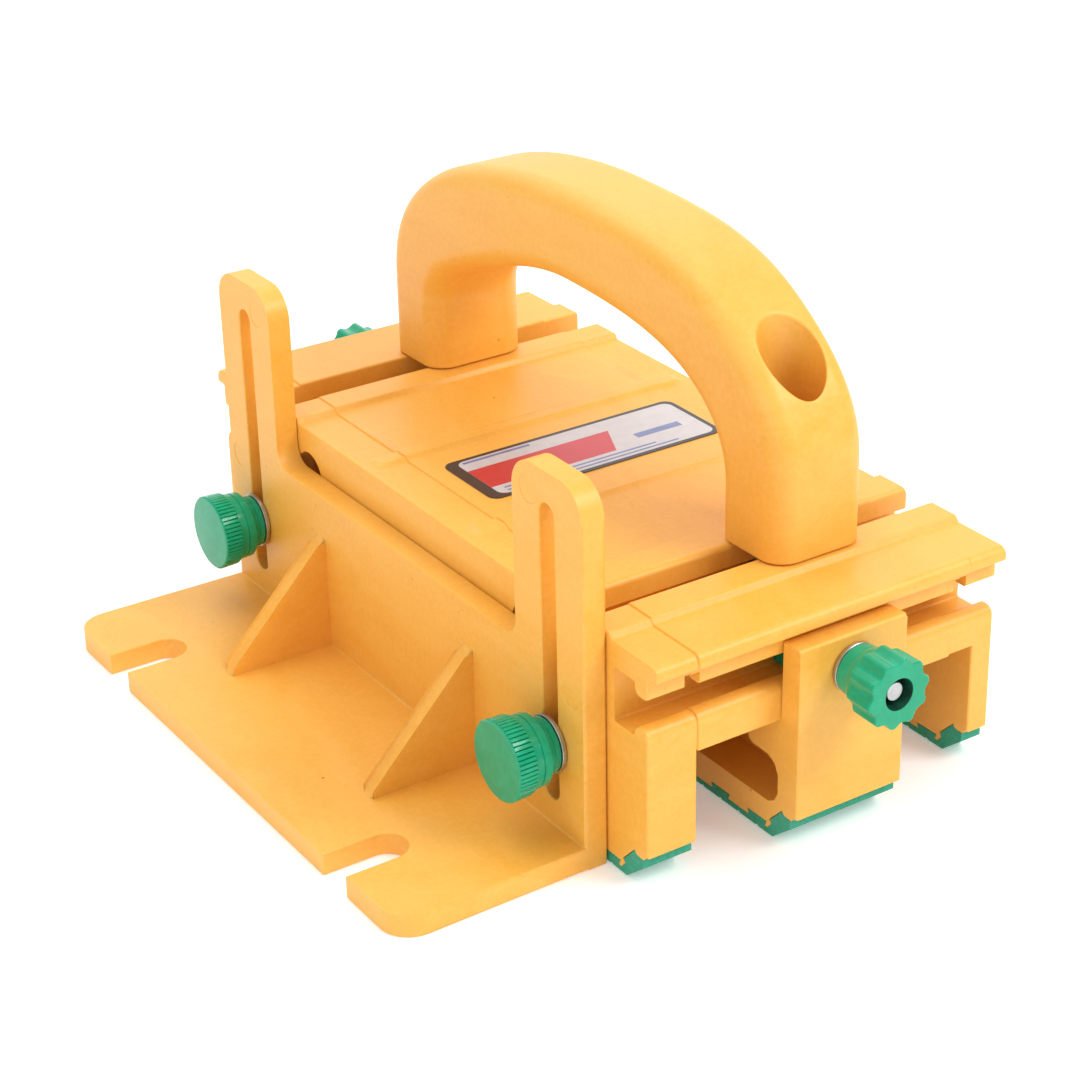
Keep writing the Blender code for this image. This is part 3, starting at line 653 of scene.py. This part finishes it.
def build_leg():
    face = BLOCK_Y + 0.3
    end = [
        (88.6, 9.0, 0.0),
        (100.0, 9.0, 3.4),
        (100.0, 21.6, 4.0),
        (88.6, 21.6, 1.6),
        (88.6, SLAB_Z, 0.8),
        (face, SLAB_Z, 1.6),
        (face, LEG_TOP, 0.5),
        (LEG_Y, LEG_TOP, 0.8),
        (LEG_Y, 8.8, 0.0),
        (LEG_Y - 2.0, 8.8, 0.0),
        (LEG_Y - 2.0, 6.8, 0.0),
        (LEG_Y - 9.0, 0.6, 0.0),
    ]
    mirrored = [(-corner[0], *corner[1:]) for corner in reversed(end)]
    leg = prism("adjustable_leg", rounded(end + mirrored, 6), "X", LEG_X0, LEG_X1, 0.4)
    web = box_outline(-101.5, 7.0, 101.5, SLAB_Z)
    join(leg, prism("web", web, "X", LEG_MID - 3.5, LEG_MID + 3.5))
    cut(leg, prism("room", leg_room(LEG_Y), "X", LEG_X0 - 1, LEG_X1 + 1))
    cut(leg, prism("hole", circle(LEG_MID, STAR_Z, BOLT_HOLE_R), "Y", -LEG_Y - 1, LEG_Y + 1))
    finish_piece(leg, YELLOW, "centre_leg", "yellow_plastic", "centre_leg")


# ---- balance support ----------------------------------------------------------------------------
def build_support():
    back, face = PLATE_X, PLATE_X - PLATE_T
    half = [
        (SUPPORT_Y - POST_W, PLATE_Z, 5.0),
        (SUPPORT_Y - POST_W, POST_Z, 8.0),
        (SUPPORT_Y, POST_Z, 8.0),
        (SUPPORT_Y, 0.0, 0.0),
    ]
    wall = half + [(-corner[0], *corner[1:]) for corner in reversed(half)]
    support = prism("slotted_support", rounded(wall, 10), "X", face, back, 0.8)
    corners = [(back - 1.0, -SUPPORT_Y), (back - 1.0, SUPPORT_Y)]
    corners += [(FOOT_X, SUPPORT_Y, 8.0), (FOOT_X, -SUPPORT_Y, 8.0)]
    join(support, prism("foot", rounded(corners, 10), "Z", 0.0, FOOT_T, 0.6))
    join(support, build_fillet(face))
    for side, _ in ENDS:
        join(support, build_brace(side * BRACE_Y, face))
    for side, _ in ENDS:
        mouth, inner = FOOT_X - 2, FOOT_X + FOOT_SLOT_DEPTH
        y0, y1 = side * FOOT_SLOT_Y - FOOT_SLOT_HALF, side * FOOT_SLOT_Y + FOOT_SLOT_HALF
        slot = rounded([(mouth, y0), (inner, y0, 5.2), (inner, y1, 5.2), (mouth, y1)], 10)
        cut(support, flared(slot, "Z", 0.0, FOOT_T))
        y0, y1 = side * SIDE_Y - POST_SLOT_HALF, side * SIDE_Y + POST_SLOT_HALF
        slot = box_outline(y0, POST_SLOT_LOW, y1, POST_SLOT_HIGH, 2.9, 8)
        cut(support, flared(slot, "X", face, back))
    mark = [(0.0, 0.0), (PIN_MARK_R, 0.0), (PIN_MARK_R - 0.15, PIN_MARK_DEPTH), (0.0, PIN_MARK_DEPTH)]
    for side, _ in ENDS:
        for y, z in PIN_MARKS:
            cut(support, turned("pin_mark", mark, "+X", (face, side * y, z)))
    finish_piece(support, YELLOW, "balance_support", "yellow_plastic", "balance_support")


def build_fillet(face):
    """The small fillet between the foot plate and the upright plate."""
    radius = 0.5
    arc = [(face - radius + radius * math.sin(t), FOOT_T + radius - radius * math.cos(t)) for t in
           [math.pi / 2 * k / 4 for k in range(5)]]
    outline = [(face + 0.5, FOOT_T - 0.5), (face - radius, FOOT_T - 0.5), *arc, (face + 0.5, FOOT_T + radius)]
    return prism("fillet", outline, "Y", -SUPPORT_Y + 0.7, SUPPORT_Y - 0.7)


def build_brace(y, face):
    """A triangular brace whose sloping edge is rounded and runs smoothly into both plates."""
    low, top = FOOT_X + 20.4, 37.3
    slope = [(low, FOOT_T - 0.1), (low + 1.6, FOOT_T + 1.0), (face - 1.3, top - 2.6), (face + 0.1, top)]
    outline = [(face + 2, FOOT_T - 2), (low, FOOT_T - 2), *slope, (face + 2, top)]
    return prism("brace", outline, "Y", y - BRACE_HALF, y + BRACE_HALF, 1.2)


def flared(outline, axis, low, high, edge=0.45):
    """A cutter through a plate, wider at both faces, so that the hole's edges are rounded."""
    middle_u = sum(u for u, _ in outline) / len(outline)
    middle_v = sum(v for _, v in outline) / len(outline)
    half_u = max(abs(u - middle_u) for u, _ in outline)
    half_v = max(abs(v - middle_v) for _, v in outline)

    def grown(by):
        su, sv = 1 + by / half_u, 1 + by / half_v
        return [(middle_u + (u - middle_u) * su, middle_v + (v - middle_v) * sv) for u, v in outline]

    sections = [(low - 1.0, grown(edge * 2))]
    turns = [math.pi / 2 * k / 3 for k in range(4)]
    curve = [(edge * (1 - math.cos(t)), edge * (1 - math.sin(t))) for t in turns]
    sections += [(low + depth, grown(out)) for depth, out in curve]
    sections += [(high - depth, grown(out)) for depth, out in reversed(curve)]
    sections += [(high + 1.0, grown(edge * 2))]
    return loft("flared", axis, sections)


# ---- handle -------------------------------------------------------------------------------------
def handle_middle(along):
    """X of the handle's middle, where along runs from -1 at its near bolt to 1 at its far one."""
    return HANDLE_X - HANDLE_SKEW * along


def handle_curve():
    curve = bpy.data.curves.new("grip", "CURVE")
    curve.dimensions = "2D"
    curve.fill_mode = "BOTH"
    curve.resolution_u = 24
    base = RIDGE_Z - 7.7
    knots = [
        (-84.6, base, "V"),
        (-84.6, 82.4, (0, -6), (0, 15.4)),
        (-62.0, 115.2, (-10.5, -7.0), (17, 11.2)),
        (0.0, HANDLE_TOP - 0.06, (-29, -0.5), (26, 0.5)),
        (63.0, 116.6, (-13, 7.0), (12, -6.5)),
        (84.6, 84.0, (0, 17), (0, -6)),
        (84.6, base, "V"),
        (61.3, base, "V"),
        (61.3, 80.0, (0, -5), (0, 6)),
        (50.0, 92.4, (6.5, -2.4), (-11, 4.4)),
        (2.0, 104.2, (19, 0.5), (-18, -0.5)),
        (-42.0, 97.8, (11, 4.4), (-11, -4.6)),
        (-61.1, 75.0, (0, 11), (0, -5)),
        (-61.1, base, "V"),
    ]
    spline = curve.splines.new("BEZIER")
    spline.bezier_points.add(len(knots) - 1)
    for point, (y, z, *arms) in zip(spline.bezier_points, knots):
        point.co = (mm(y), mm(z), 0)
        if arms[0] == "V":
            point.handle_left_type = point.handle_right_type = "VECTOR"
            continue
        point.handle_left_type = point.handle_right_type = "FREE"
        point.handle_left = (mm(y + arms[0][0]), mm(z + arms[0][1]), 0)
        point.handle_right = (mm(y + arms[1][0]), mm(z + arms[1][1]), 0)
    spline.use_cyclic_u = True
    curve.extrude = mm(HANDLE_W / 2 - GRIP_R)
    curve.bevel_depth = mm(GRIP_R)
    curve.bevel_resolution = 9
    curve.offset = -mm(GRIP_R)
    return curve


def build_handle():
    curve = handle_curve()
    source = bpy.data.objects.new("grip_curve", curve)
    bpy.context.scene.collection.objects.link(source)
    bpy.context.view_layer.update()
    mesh = bpy.data.meshes.new_from_object(source.evaluated_get(bpy.context.evaluated_depsgraph_get()))
    bpy.data.objects.remove(source, do_unlink=True)
    bpy.data.curves.remove(curve)
    work = bmesh.new()
    work.from_mesh(mesh)
    bpy.data.meshes.remove(mesh)
    bmesh.ops.remove_doubles(work, verts=work.verts, dist=1e-6)
    for vert in work.verts:  # the curve lies in Y and Z; it is wider and a little askew at its far end
        y, z, across = vert.co
        along = y / mm(SLOT_Y)
        vert.co = (mm(handle_middle(along)) + across * (1.0 + HANDLE_FLARE * along), y, z)
    grip = new_object("grip", work)
    foot = RIDGE_Z + 0.3
    below = box_outline(-120.0, 20.0, 120.0, foot)
    cut(grip, prism("below", below, "X", HANDLE_X - 40, HANDLE_X + 40), solver="EXACT")
    for side, _ in ENDS:
        x, y = handle_middle(side), side * SLOT_Y
        cut(grip, bolt_well(grip, x, y), solver="EXACT")
        cut(grip, prism("bolt_bore", circle(x, y, 3.5), "Z", 50.0, 80.0), solver="EXACT")
    soften_feet(grip, foot)
    finish_piece(grip, YELLOW, "handle", "yellow_plastic", "handle")


def bolt_well(grip, x, y):
    """A cutter down to a bolt's seat. Its rim follows the grip's surface, so the well's mouth is rounded."""
    count, radius, mouth, rim = 72, 7.5, 8.05, 0.7
    lean = 0.5 if y < 0 else -0.5  # the mouth stands a little nearer the middle of the handle
    points = [vert.co for vert in grip.data.vertices]
    surface = BVHTree.FromPolygons(points, [face.vertices for face in grip.data.polygons])

    def top_at(u, v):
        hit = surface.ray_cast(Vector((mm(u), mm(v), mm(200.0))), Vector((0, 0, -1)))[0]
        return hit.z * 1000

    turns = [math.pi / 2 * k / 7 for k in range(1, 8)]
    rounding = [(rim * (1 - math.sin(t)), rim * (1 - math.cos(t))) for t in turns]
    work = bmesh.new()
    above = circle(x, y + lean, mouth + rim + 0.3, count)
    rings = [[work.verts.new(place("Z", 150.0, u, v)) for u, v in above]]
    for out, drop in [(rim + 0.3, -0.08), *rounding]:
        outline = circle(x, y + lean, mouth + out, count)
        rings.append([work.verts.new(place("Z", top_at(u, v) - drop, u, v)) for u, v in outline])
    for wall, height in ((radius, 74.8), (radius - 0.25, 74.2), (radius - 0.8, 74.0)):
        rings.append([work.verts.new(place("Z", height, u, v)) for u, v in circle(x, y, wall, count)])
    skin(work, rings)
    return new_object("well", work)


def soften_feet(grip, foot):
    """A small rounding round the underside of the handle's two feet."""
    work = bmesh.new()
    work.from_mesh(grip.data)
    low = mm(foot) + 1e-6
    rim = []
    for edge in work.edges:
        if any(vert.co.z > low for vert in edge.verts) or len(edge.link_faces) != 2:
            continue
        flat = [abs(face.normal.z) > 0.99 for face in edge.link_faces]
        middle = (edge.verts[0].co + edge.verts[1].co) / 2
        bores = [math.hypot(middle.x - mm(handle_middle(s)), middle.y - mm(s * SLOT_Y)) for s in (-1, 1)]
        if flat[0] != flat[1] and min(bores) > mm(6.0):
            rim.append(edge)
    bmesh.ops.bevel(
        work, geom=rim, offset=mm(0.5), segments=3, profile=0.5, affect="EDGES", clamp_overlap=False
    )
    work.to_mesh(grip.data)
    work.free()


# ---- screws, bolts and washers ------------------------------------------------------------------
def threaded(name, axis, origin, length, radius, tip=0.3, steps=28):
    """A solid threaded rod from origin along axis, with its helical ridges and a chamfered far end."""
    sign = -1.0 if axis[0] == "-" else 1.0
    letter = axis[1]
    ou, ov = [origin[k] for k in range(3) if AXES[k] != letter]
    start = origin[AXES.index(letter)]
    depth = 0.22
    rows = int(length / PITCH * 6)
    work = bmesh.new()
    rings = []
    for row in range(rows + 1):
        height = length * row / rows
        limit = radius - max(0.0, height - (length - tip)) * 0.75
        ring = []
        for k in range(steps):
            angle = 2 * math.pi * k / steps
            wave = abs(((height / PITCH - k / steps) % 1.0) * 2 - 1)
            at = min(limit, radius - depth * (1 - wave) * 1.3)
            u, v = ou + at * math.cos(angle), ov + at * math.sin(angle)
            ring.append(work.verts.new(place(letter, start + sign * height, u, v)))
        rings.append(ring)
    skin(work, rings)
    return new_object(name, work)


def hex_bolt(name, axis, origin, length, radius, across, head):
    """A hex-head bolt. Its head's outer face is at origin and its threaded shank runs along axis."""
    sign = -1.0 if axis[0] == "-" else 1.0
    letter = axis[1]
    ou, ov = [origin[k] for k in range(3) if AXES[k] != letter]
    start = origin[AXES.index(letter)]
    outer = across / math.sqrt(3)
    low, high = sorted((start, start + sign * head))
    bolt = prism("head", circle(ou, ov, outer, 6), letter, low, high, 0.12)
    dome = [(0.0, 0.0), (across * 0.47, 0.0), (outer * 1.02, head * 0.3), (outer * 1.02, head), (0.0, head)]
    combine(bolt, turned("dome", dome, axis, origin, 48), "INTERSECT", "EXACT")
    washer_face = [(0.0, head - 0.6), (across * 0.47, head - 0.6), (across * 0.47, head), (0.0, head)]
    join(bolt, turned("face", washer_face, axis, origin, 48), solver="EXACT")
    shank = list(origin)
    shank[AXES.index(letter)] = start + sign * (head - 0.3)
    join(bolt, threaded("shank", axis, shank, length - head + 0.3, radius), solver="EXACT")
    bolt.name = name
    return bolt


def washer(name, axis, origin, outer, inner, height):
    """A stamped washer: one face has rounded edges and the other has sharp ones."""
    r = height * 0.32
    profile = [
        (inner, r), (inner + r * 0.3, r * 0.3), (inner + r, 0.0),
        (outer - r, 0.0), (outer - r * 0.3, r * 0.3), (outer, r),
        (outer, height - 0.1), (outer - 0.1, height), (inner + 0.1, height), (inner, height - 0.1),
    ]
    return turned(name, profile, axis, origin)


def build_handle_fixings():
    for side, word in ENDS:
        x, y = handle_middle(side), side * SLOT_Y
        (_, _, low), (_, _, high) = node_box(f"handle_bolt_{word}")
        bolt = hex_bolt(f"foot_bolt_{word}", "-Z", (x, y, high), high - low, 3.0, 10.9, 4.6)
        finish_piece(bolt, STEEL, "handle", "zinc_steel", f"handle_bolt_{word}")
        seat = node_box(f"handle_washer_{word}")[0][2]
        ring = washer(f"foot_washer_{word}", "+Z", (x, y, seat), 6.6, 3.4, WASHER_T)
        finish_piece(ring, STEEL, "handle", "zinc_steel", f"handle_washer_{word}")
        nut = prism("nut", box_outline(x - 8.0, y - 7.9, x + 8.0, y + 7.9, 1.0), "Z", 49.8, 54.3, 0.3)
        join(nut, prism("neck", box_outline(x - 7.0, y - 4.2, x + 7.0, y + 4.2, 0.7), "Z", 53.0, 57.0, 0.25))
        cut(nut, prism("hole", circle(x, y, 3.2), "Z", 45.0, 60.0))
        nut.name = f"slot_nut_{word}"
        finish_piece(nut, STEEL, "handle", "zinc_steel", f"handle_tnut_{word}")


# ---- knobs --------------------------------------------------------------------------------------
def side_knob_shape(name, start, y):
    """A round knob whose heights run outwards from its inner end, at X start."""
    ribs, per_rib = 56, 6
    around = ribs * per_rib

    def circle_at(radius):
        return [radius] * around

    def ribbed(outer, depth):
        """Broad ribs with narrow grooves between them."""
        return [outer - depth * (k % per_rib == 0) for k in range(around)]

    rows = [
        (-0.22, circle_at(6.4)), (-0.1, circle_at(6.75)), (0.2, circle_at(6.9)), (1.3, circle_at(6.9)),
        (1.45, circle_at(6.76)), (1.65, circle_at(6.76)), (1.8, circle_at(6.95)), (2.9, circle_at(7.05)),
        (3.1, circle_at(7.3)), (3.2, circle_at(8.5)), (3.45, circle_at(8.82)), (3.8, circle_at(8.9)),
        (5.5, circle_at(8.95)), (5.6, circle_at(8.72)), (5.85, circle_at(8.72)), (5.95, circle_at(9.0)),
        (7.7, circle_at(9.05)), (7.8, ribbed(9.4, 0.3)), (8.0, ribbed(9.72, 0.42)), (8.3, ribbed(9.82, 0.46)),
        (11.6, ribbed(9.95, 0.42)), (12.65, ribbed(9.97, 0.4)),
        (12.72, circle_at(9.88)), (12.86, circle_at(9.74)), (12.94, circle_at(9.5)), (12.96, circle_at(9.1)),
        (12.98, circle_at(8.6)), (13.06, circle_at(7.0)), (13.14, circle_at(5.0)), (13.2, circle_at(3.0)),
        (13.23, circle_at(1.4)),
    ]
    work = bmesh.new()
    rings = []
    for height, radii in rows:
        ring = []
        for k, radius in enumerate(radii):
            angle = 2 * math.pi * k / around
            u, v = y + radius * math.cos(angle), SIDE_Z + radius * math.sin(angle)
            ring.append(work.verts.new(place("X", start - height, u, v)))
        rings.append(ring)
    skin(work, rings, closed_ends=False)
    tip = work.verts.new(place("X", start - 13.25, y, SIDE_Z))
    for k in range(around):
        work.faces.new((rings[-1][k - 1], rings[-1][k], tip))
    for depth in (-0.22, 8.0):
        hole = circle(y, SIDE_Z, 2.6, around)
        rings.insert(0, [work.verts.new(place("X", start - depth, u, v)) for u, v in hole])
    skin(work, rings[:3], closed_ends=False)
    work.faces.new(rings[0])
    return new_object(name, work)


def star_knob_shape(name, side):
    """A knob with ten blunt points and hollows between them, from its inner end outwards."""
    points, per_point = 10, 14
    around = points * per_point
    start = LEG_Y + KNOB_GAP
    turn = math.radians(8.0)

    def even(radius):
        return [radius] * around

    def star(tip, valley):
        """Blunt cusps; the hollow between two of them is an arc."""
        offs = [abs((k % per_point) / per_point - 0.5) * 2 for k in range(around)]
        return [valley + (tip - valley) * min(1.0, (off / 0.78) ** 1.9) for off in offs]

    rows = [
        (-0.22, even(6.0)), (-0.05, even(6.3)), (0.4, even(6.45)), (2.7, even(6.55)), (2.85, even(6.45)),
        (3.05, even(6.45)), (3.2, even(6.75)), (4.2, even(7.25)), (5.6, even(7.62)),
        (5.85, star(7.9, 7.65)), (6.05, star(8.5, 7.68)), (6.4, star(8.7, 7.7)),
        (9.5, star(8.78, 7.72)), (13.7, star(8.84, 7.76)), (14.05, star(8.8, 7.72)),
        (14.22, star(8.64, 7.6)), (14.3, star(8.35, 7.35)),
        (14.3, even(4.25)), (14.18, even(4.0)), (13.9, even(3.88)), (5.3, even(3.3)), (5.2, even(4.35)),
        (-0.05, even(4.35)), (-0.22, even(4.5)),
    ]
    work = bmesh.new()
    rings = []
    for height, radii in rows:
        ring = []
        for k, radius in enumerate(radii):
            angle = 2 * math.pi * k / around + turn
            u, v = LEG_MID + radius * math.cos(angle), STAR_Z + radius * math.sin(angle)
            ring.append(work.verts.new(place("Y", side * (start + height), u, v)))
        rings.append(ring)
    skin(work, [*rings, rings[0]], closed_ends=False)
    return new_object(name, work)


def build_side_knobs():
    face = PLATE_X - PLATE_T
    for side, word in ENDS:
        y = side * SIDE_Y
        inner = (face - WASHER_GAP, y, SIDE_Z)
        ring = washer(f"round_knob_washer_{word}", "-X", inner, 7.2, BOLT_HOLE_R, WASHER_T)
        finish_piece(ring, STEEL, f"side_washer_{word}", "zinc_steel", f"side_washer_{word}")
        knob = side_knob_shape(f"round_knob_{word}", face - KNOB_GAP, y)
        finish_piece(knob, GREEN, f"side_knob_{word}", "green_plastic", f"side_knob_{word}")
        (x0, _, _), (x1, _, _) = node_box(f"side_stud_{word}")
        stud = threaded(f"knob_stud_{word}", "+X", (x0, y, SIDE_Z), x1 - x0, BOLT_R)
        finish_piece(stud, STEEL, f"side_knob_{word}", "zinc_steel", f"side_stud_{word}")


def build_star_knobs():
    for side, word in ENDS:
        axis = "-Y" if side < 0 else "+Y"
        seat = (LEG_MID, side * (LEG_Y + WASHER_GAP), STAR_Z)
        ring = washer(f"star_washer_ring_{word}", axis, seat, 6.4, BOLT_HOLE_R, WASHER_T)
        finish_piece(ring, STEEL, f"star_washer_{word}", "zinc_steel", f"star_washer_{word}")
        knob = star_knob_shape(f"ten_point_knob_{word}", side)
        finish_piece(knob, GREEN, f"star_knob_{word}", "green_plastic", f"star_knob_{word}")
        # painted shade on the wall of the knob's hole
        paint_bore_shade(knob)
        (_, y0, _), (_, y1, _) = node_box(f"star_bolt_{word}")
        inner, outer = (y1, y0) if side < 0 else (y0, y1)
        head, length = (LEG_MID, inner, STAR_Z), abs(outer - inner)
        bolt = hex_bolt(f"clamp_bolt_{word}", axis, head, length, BOLT_R, 8.3, 3.6)
        finish_piece(bolt, STEEL, "centre_leg", "zinc_steel", f"star_bolt_{word}")
        build_slider(side, word)


def paint_bore_shade(knob):
    """Gives the wall of a star knob's hole the dark green of painted shade."""
    knob.data.materials.append(GREEN_BORE_SHADE)
    for face in knob.data.polygons:
        from_axis = math.hypot(face.center.x - mm(LEG_MID), face.center.z - mm(STAR_Z))
        # faces within 4 mm of the axis, the hole's wall, get the painted shade
        if from_axis < mm(4.0):
            face.material_index = 1


def build_slider(side, word):
    (x0, y0, z0), (x1, y1, z1) = node_box(f"slider_{word}")
    block = prism("block", box_outline(x0, z0, x1, z1, 1.0), "Y", y0, y1, 0.35)
    low, high = sorted((side * 86.0, side * 92.3))
    cut(block, prism("pocket", circle(LEG_MID, STAR_Z, 9.0 / math.sqrt(3), 6), "Y", low, high))
    cut(block, prism("hole", circle(LEG_MID, STAR_Z, BOLT_HOLE_R), "Y", y0 - 1, y1 + 1))
    block.name = f"clamp_block_{word}"
    finish_piece(block, GREEN, "centre_leg", "green_plastic", f"slider_{word}")


# ---- label --------------------------------------------------------------------------------------
def build_label():
    """A generic print: dark border, white field, one red band and four blue bars, with no lettering."""
    (x0, y0, z0), (x1, y1, z1) = node_box("label")
    base = prism("label_border", box_outline(x0, y0, x1, y1, 2.8, 10), "Z", z0, z1 - 0.06, 0.03)
    finish_piece(base, FILM_DARK, "block", "label_film", "label")
    frame_w, left_w = 1.35, 3.3
    left = x0 + left_w
    field = box_outline(left, y0 + frame_w, x1 - frame_w, y1 - frame_w, 2.4, 10)
    top = z1 - 0.03
    finish_piece(prism("label_field", field, "Z", z0 + 0.02, top), FILM_WHITE, "block", "label_film")
    low, high = y0 + 6.2, y0 + 17.4
    band = [(left + 0.02, low), (x0 + 41.0, low), (x0 + 46.0, high), (left + 0.02, high)]
    finish_piece(prism("label_band", band, "Z", z0 + 0.04, z1 - 0.01), FILM_RED, "block", "label_film")
    rules = [(4.8, 22.0, 20.0, 1.0), (6.0, 4.4, 46.0, 0.7), (6.0, 2.7, 52.0, 0.7), (50.0, 10.5, 14.0, 2.6)]
    for number, (along, across, length, height) in enumerate(rules, 1):
        u, v = x0 + along, y0 + across - height / 2
        outline = box_outline(u, v, u + length, v + height)
        bar = prism(f"label_rule_{number}", outline, "Z", z0 + 0.04, z1 - 0.01)
        finish_piece(bar, FILM_BLUE, "block", "label_film")


# ---- stage --------------------------------------------------------------------------------------
def build_stage():
    floor_paint = Paint("studio_floor")
    mottle = floor_paint.noise(floor_paint.place(), 3.0, 2.0)
    floor_paint.color(floor_paint.mix(mottle, (0.90, 0.90, 0.90), (0.93, 0.93, 0.93)))
    floor_paint.set(Roughness=0.9, Emission_Color=(1.0, 1.0, 1.0, 1.0), Emission_Strength=0.25)
    work = bmesh.new()
    bmesh.ops.create_grid(work, x_segments=1, y_segments=1, size=6.0)
    floor = new_object("floor", work)
    floor.location = (0, 0, -0.0002)
    floor.data.materials.append(floor_paint.material)
    world = bpy.data.worlds.new("studio")
    bpy.context.scene.world = world
    world.use_nodes = True
    world.node_tree.nodes["Background"].inputs["Color"].default_value = (1.0, 1.0, 1.0, 1)
    world.node_tree.nodes["Background"].inputs["Strength"].default_value = 0.63
    add_light("key", (0.55, -0.75, 0.95), 0.55, 8.8)
    add_light("fill", (-1.0, -0.5, 0.6), 0.8, 2.8)
    add_light("top", (-0.1, 0.3, 1.3), 0.9, 5.2)
    add_light("back", (0.5, 0.9, 0.75), 1.6, 6.4)


def add_light(name, spot, size, power):
    light = bpy.data.lights.new(name, "AREA")
    light.shape = "SQUARE"
    light.size = size
    light.energy = power
    obj = bpy.data.objects.new(name, light)
    bpy.context.scene.collection.objects.link(obj)
    obj.location = spot
    towards = Vector((0, 0, 0.05)) - obj.location
    obj.rotation_euler = towards.to_track_quat("-Z", "Y").to_euler()


def build_camera():
    camera = bpy.data.cameras.new("camera")
    camera.sensor_width = 36.0
    camera.lens = 86.19
    camera.shift_x = -0.0496
    camera.shift_y = -0.0491
    camera.clip_start = 0.01
    obj = bpy.data.objects.new("camera", camera)
    obj.matrix_world = Matrix(
        (
            (0.825035, 0.252263, -0.505648, -0.3049885),
            (-0.564953, 0.349158, -0.747607, -0.4980437),
            (-0.012042, 0.902470, 0.430584, 0.3344803),
            (0.0, 0.0, 0.0, 1.0),
        )
    )
    bpy.context.scene.collection.objects.link(obj)
    bpy.context.scene.camera = obj


# ---- the whole object ---------------------------------------------------------------------------
build_body()
build_sole("sole_left", BLOCK_Y, BLOCK_X0 + 0.1, BLOCK_X0 + LEFT_LEG_W, "block", "left_sole")
build_sole("sole_right", BLOCK_Y, BLOCK_X1 - RIGHT_LEG_W, BLOCK_X1 - 0.1, "block", "right_sole")
build_leg()
build_sole("sole_centre", LEG_Y, LEG_X0, LEG_X1, "centre_leg", "centre_sole")
build_support()
build_handle()
build_handle_fixings()
build_side_knobs()
build_star_knobs()
build_label()
for _, word in ENDS:
    for kept in (f"side_insert_{word}", f"star_bush_{word}"):
        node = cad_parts[kept]
        for material_slot in node.material_slots:
            material_slot.material = BRASS
build_stage()
build_camera()
bpy.context.scene.view_settings.view_transform = "Standard"
bpy.context.scene.view_settings.look = "None"
